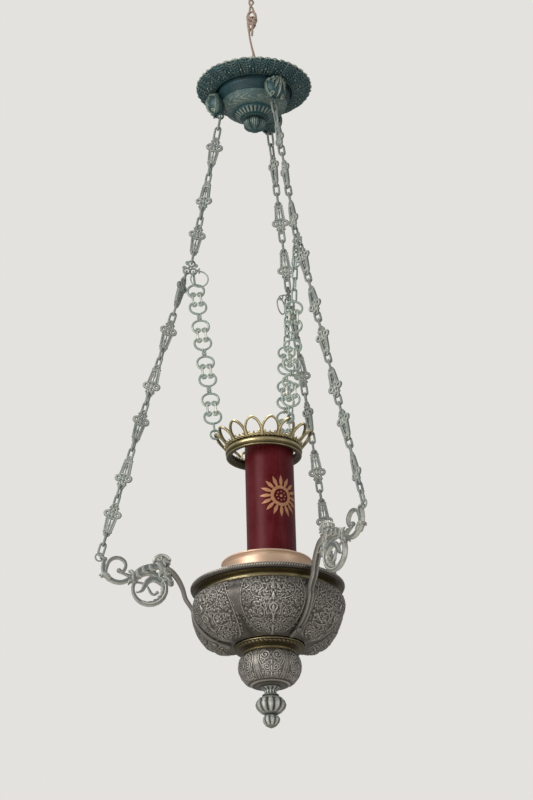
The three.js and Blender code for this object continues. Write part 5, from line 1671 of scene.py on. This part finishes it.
def makeBracket():
    facts = bracketFacts

    def bar(points, widths, thicks, lift=0.0, steps=7):
        line = curved(points, steps)
        share = np.linspace(0, 1, len(line))
        wide = np.interp(share, np.linspace(0, 1, len(widths)), widths) / 2
        thick = np.interp(share, np.linspace(0, 1, len(thicks)), thicks) / 2
        return swept(inPlane(line, lift), barSection, np.column_stack([wide, thick]), (0, 0, 1), tone=barTone)

    def leaf(x, y, heading, reach, half, lift, bend=0.2):
        d = math.radians(heading)
        ahead, side = np.array([math.cos(d), math.sin(d)]), np.array([-math.sin(d), math.cos(d)])
        line = curved([(x, y), (x, y) + ahead * reach * 0.5 + side * reach * bend, (x, y) + ahead * reach], 5)
        count = len(line)
        sizes = np.column_stack(
            [taper(count, half * 0.8, half * 0.3, half * 0.4), taper(count, 2.4, 1.0, 0.6)]
        )
        blade = roundStrip(inPlane(line, lift), 8, sizes, (0, 0, 1))
        vein = roundStrip(
            inPlane(line, lift + math.copysign(1.5, lift)), 5, taper(count, 0.9, 0.5), tone=0.85,
        )
        return [blade, vein]

    shapes = [
        bar(facts["stem"], [5.6, 6.8, 7.6, 7.4, 6.8, 6.4], [7, 8, 8]),
        bar(facts["curl"], [4.4, 5.4, 5.4, 4.6], [7, 7.4, 6.4]),
        bar(facts["arch"], [7, 10, 11, 10.5, 9], [8.4, 9.4, 9, 9]),
        bar(facts["mass"], [13, 12, 10.5, 9], [11, 10, 9, 8]),
        bar(facts["hook"], [6, 8, 9.4, 9.4, 8, 6, 1.6], [7, 8, 7, 3]),
        bar(facts["hookCurl"], [3, 4.4, 3.6, 2.6], [4, 5, 4]),
        bar([(203, 10.6), (196, 11), (188, 8.4)], [3.4, 3, 3.6], [4, 4, 4]),
        bar([(225, 27), (216.5, 24.2), (206, 19.6)], [2.2, 4.4, 6.4], [4.6, 6, 7]),
        bar([(204.6, 25.4), (204, 18), (203.4, 10.4)], [5.6, 6.6, 5.6], [11.6, 12, 11.6]),
    ]
    # the wheel is wider on the side next to the bowl, with a wavy inner edge like a leaf wrapped round it
    angle = np.arange(96) / 96 * 2 * math.pi
    wide = np.interp(
        np.degrees(angle), [0, 60, 120, 180, 235, 275, 315, 360], [5.6, 6, 9.5, 12.4, 11.6, 8.8, 6.4, 5.6],
    )
    waving = np.clip(wide / facts["waveFrom"] - 1, 0, 1)  # only where the wheel is wide
    wavy = waving * facts["waveDepth"] * np.abs(np.sin(facts["waves"] * angle / 2))
    middle = facts["wheelRadius"] - (wide - wavy) / 2
    wheelX, wheelY = facts["wheel"]
    wheelLine = np.column_stack([wheelX + middle * np.cos(angle), wheelY + middle * np.sin(angle)])
    sizes = np.column_stack([(wide - wavy) / 2, np.full(96, facts["thick"] / 2)])
    shapes.append(swept(inPlane(wheelLine), barSection, sizes, (0, 0, 1), True, tone=barTone))
    for lift in (-3.8, 3.8):
        vein = circleLine(facts["wheel"], facts["wheelRadius"] - 4.2, 40, 130, 300)
        shapes.append(roundStrip(inPlane(vein, lift), 7, taper(40, 0.7, 0.7, 0.6), tone=0.85))
        for x, y, heading, reach, half in (
            (199, 27, 236, 10, 3.6), (190, 33, 224, 11, 3.6), (179.5, 36, 216, 11, 3.6),
            (205, 24, 40, 9, 2.8), (206.5, 14, 320, 8, 2.6), (241, 16.6, 28, 15, 4.2), (246, 25, 330, 9, 3.2),
            (164, 40, 222, 13, 4.2), (157, 29, 212, 11, 3.8), (160, 27, 300, 10, 3.4), (152, 16, 208, 9, 3.2),
            (154, 14, 320, 8, 3),
        ):
            shapes += leaf(x, y, heading, reach, half, lift)
    for x, y, size in (
        (226.6, 30.6, 3.9), (168.8, -5.4, 2.8), (255.4, 23.4, 1.9), (199.6, -4.2, 1.3), (247.6, 49.6, 3.2),
        (225.4, 27.2, 1.6),
    ):
        shapes.append(ball((x, y, 0), (size, size, min(size * 1.2, 4.4)), 16))
    # the foliate bud over the strap, a rolled leaf seen end on
    shapes.append(ball((162.5, 47.4, 0), (10.2, 6.6, 6.4), 20))
    shapes.append(ball((153.6, 46.6, 0), (6.0, 5.6, 5.6), 18))
    for lift in (-4.4, 0, 4.4):
        ridge = curved([(173.6, 45.4), (171.4, 50), (163.5, 54), (154.4, 52.6), (148.4, 47)], 5)
        ridge = ridge - (ridge - (162, 46)) * 0.012 * lift**2 / 4
        shapes.append(roundStrip(inPlane(ridge, lift), 8, taper(len(ridge), 2.0, 1.8, 0.8), tone=0.7))
    for lift in (-6, 6):
        roll = spiralLine((164.5, 47.8), 4.6, 1.0, 40, 1.3, 24)
        shapes.append(roundStrip(inPlane(roll, lift), 8, taper(24, 1.5, 1.0), tone=0.7))
        for heading in (214, 262):
            shapes += leaf(157, 47, heading, 10, 3.4, lift * 0.7, 0.1)
    loopAt = towards(endRing["centre"], (247, 48), endRing["radius"])
    outwards, up = straightLine(loopAt, endRing["centre"])[0]
    loopAxes = [[outwards, 0, up], [0, 1, 0], [-up, 0, outwards]]
    loop = moved(wireRing((0, 0), 4.6, 1.6, 28, 9), loopAxes, (loopAt[0], 0, loopAt[1]))
    return joinShapes([uprightShape(joinShapes(shapes)), loop])


strapShape, screwShape = makeStrap()
bracketShape = makeBracket()
for side, azimuth in arms.items():
    for node, making, shape, finish in (
        ("strap", "cast", strapShape, "embossedDarkBrass"),
        ("strap_screw", "turned", screwShape, "embossedDarkBrass"),
        ("bracket", "cast", bracketShape, "castGreyBrass"),
    ):
        name = f"{node}_{side}"
        makePiece(f"{name}_{making}", turnedBy(shape, azimuth), "bowl", finish, [name])
print("stage: straps and brackets made")

# Studio: pale floor, soft lamps and an even sky. Places and sizes in metres.
studio = {
    "floorLevel": -3.1, "floorSize": 14, "floorColours": ("#d6d3cd", "#dedbd6"), "skyColour": "#c9cbd0",
    "skyStrength": 0.55, "backdrop": "#e4e2de", "lampsAimAt": (0, 0, -0.75),
    "lamps": [
        ("keyLamp", (-2.8, -2.6, -0.2), 2.2, 95),  # name, place, size, watts
        ("fillLamp", (3.0, -2.6, -1.6), 2.4, 26),
        ("topLamp", (-0.4, 0.9, 1.9), 2.0, 60),
        ("lowLamp", (-1.0, -2.4, -2.8), 2.0, 26),
    ],
}


def makeStudio():
    half = studio["floorSize"] / 2
    mesh = bpy.data.meshes.new("studioFloor")
    corners = [(-half, -half), (half, -half), (half, half), (-half, half)]
    mesh.from_pydata([(x, y, studio["floorLevel"]) for x, y in corners], [], [(0, 1, 2, 3)])
    material, tree, shader, place = newMaterial("paleFloor")
    grain = addNode(tree, "ShaderNodeTexNoise", {"Scale": 6, "Detail": 3}, {"Vector": place})
    dark, pale = studio["floorColours"]
    tree.links.new(blended(tree, grain.outputs["Fac"], dark, pale), shader.inputs["Base Color"])
    shader.inputs["Roughness"].default_value = 0.9
    mesh.materials.append(material)
    floor = bpy.data.objects.new("studioFloor", mesh)
    bpy.context.scene.collection.objects.link(floor)
    for name, place, size, power in studio["lamps"]:
        data = bpy.data.lights.new(name, "AREA")
        data.size = size
        data.energy = power
        lamp = bpy.data.objects.new(name, data)
        bpy.context.scene.collection.objects.link(lamp)
        away = np.subtract(place, studio["lampsAimAt"])
        away /= np.linalg.norm(away)
        side = np.cross([0, 0, 1.0], away)
        side /= np.linalg.norm(side)
        matrix = np.eye(4)
        matrix[:3, 0], matrix[:3, 1], matrix[:3, 2], matrix[:3, 3] = side, np.cross(away, side), away, place
        lamp.matrix_world = Matrix(matrix)
    world = bpy.data.worlds.new("studioSky")
    bpy.context.scene.world = world
    world.use_nodes = True
    sky = world.node_tree
    back = sky.nodes["Background"]
    back.inputs["Color"].default_value = linear(studio["skyColour"])
    back.inputs["Strength"].default_value = studio["skyStrength"]
    seen = addNode(sky, "ShaderNodeBackground", {"Color": linear(studio["backdrop"]), "Strength": 1.0})
    rays = addNode(sky, "ShaderNodeLightPath")
    mixed = addNode(
        sky, "ShaderNodeMixShader",
        links={"0": rays.outputs["Is Camera Ray"], "1": back.outputs[0], "2": seen.outputs[0]},
    )
    sky.links.new(mixed.outputs[0], sky.nodes["World Output"].inputs["Surface"])


makeStudio()
bpy.context.scene.view_settings.view_transform = "Standard"
print("stage: studio made")
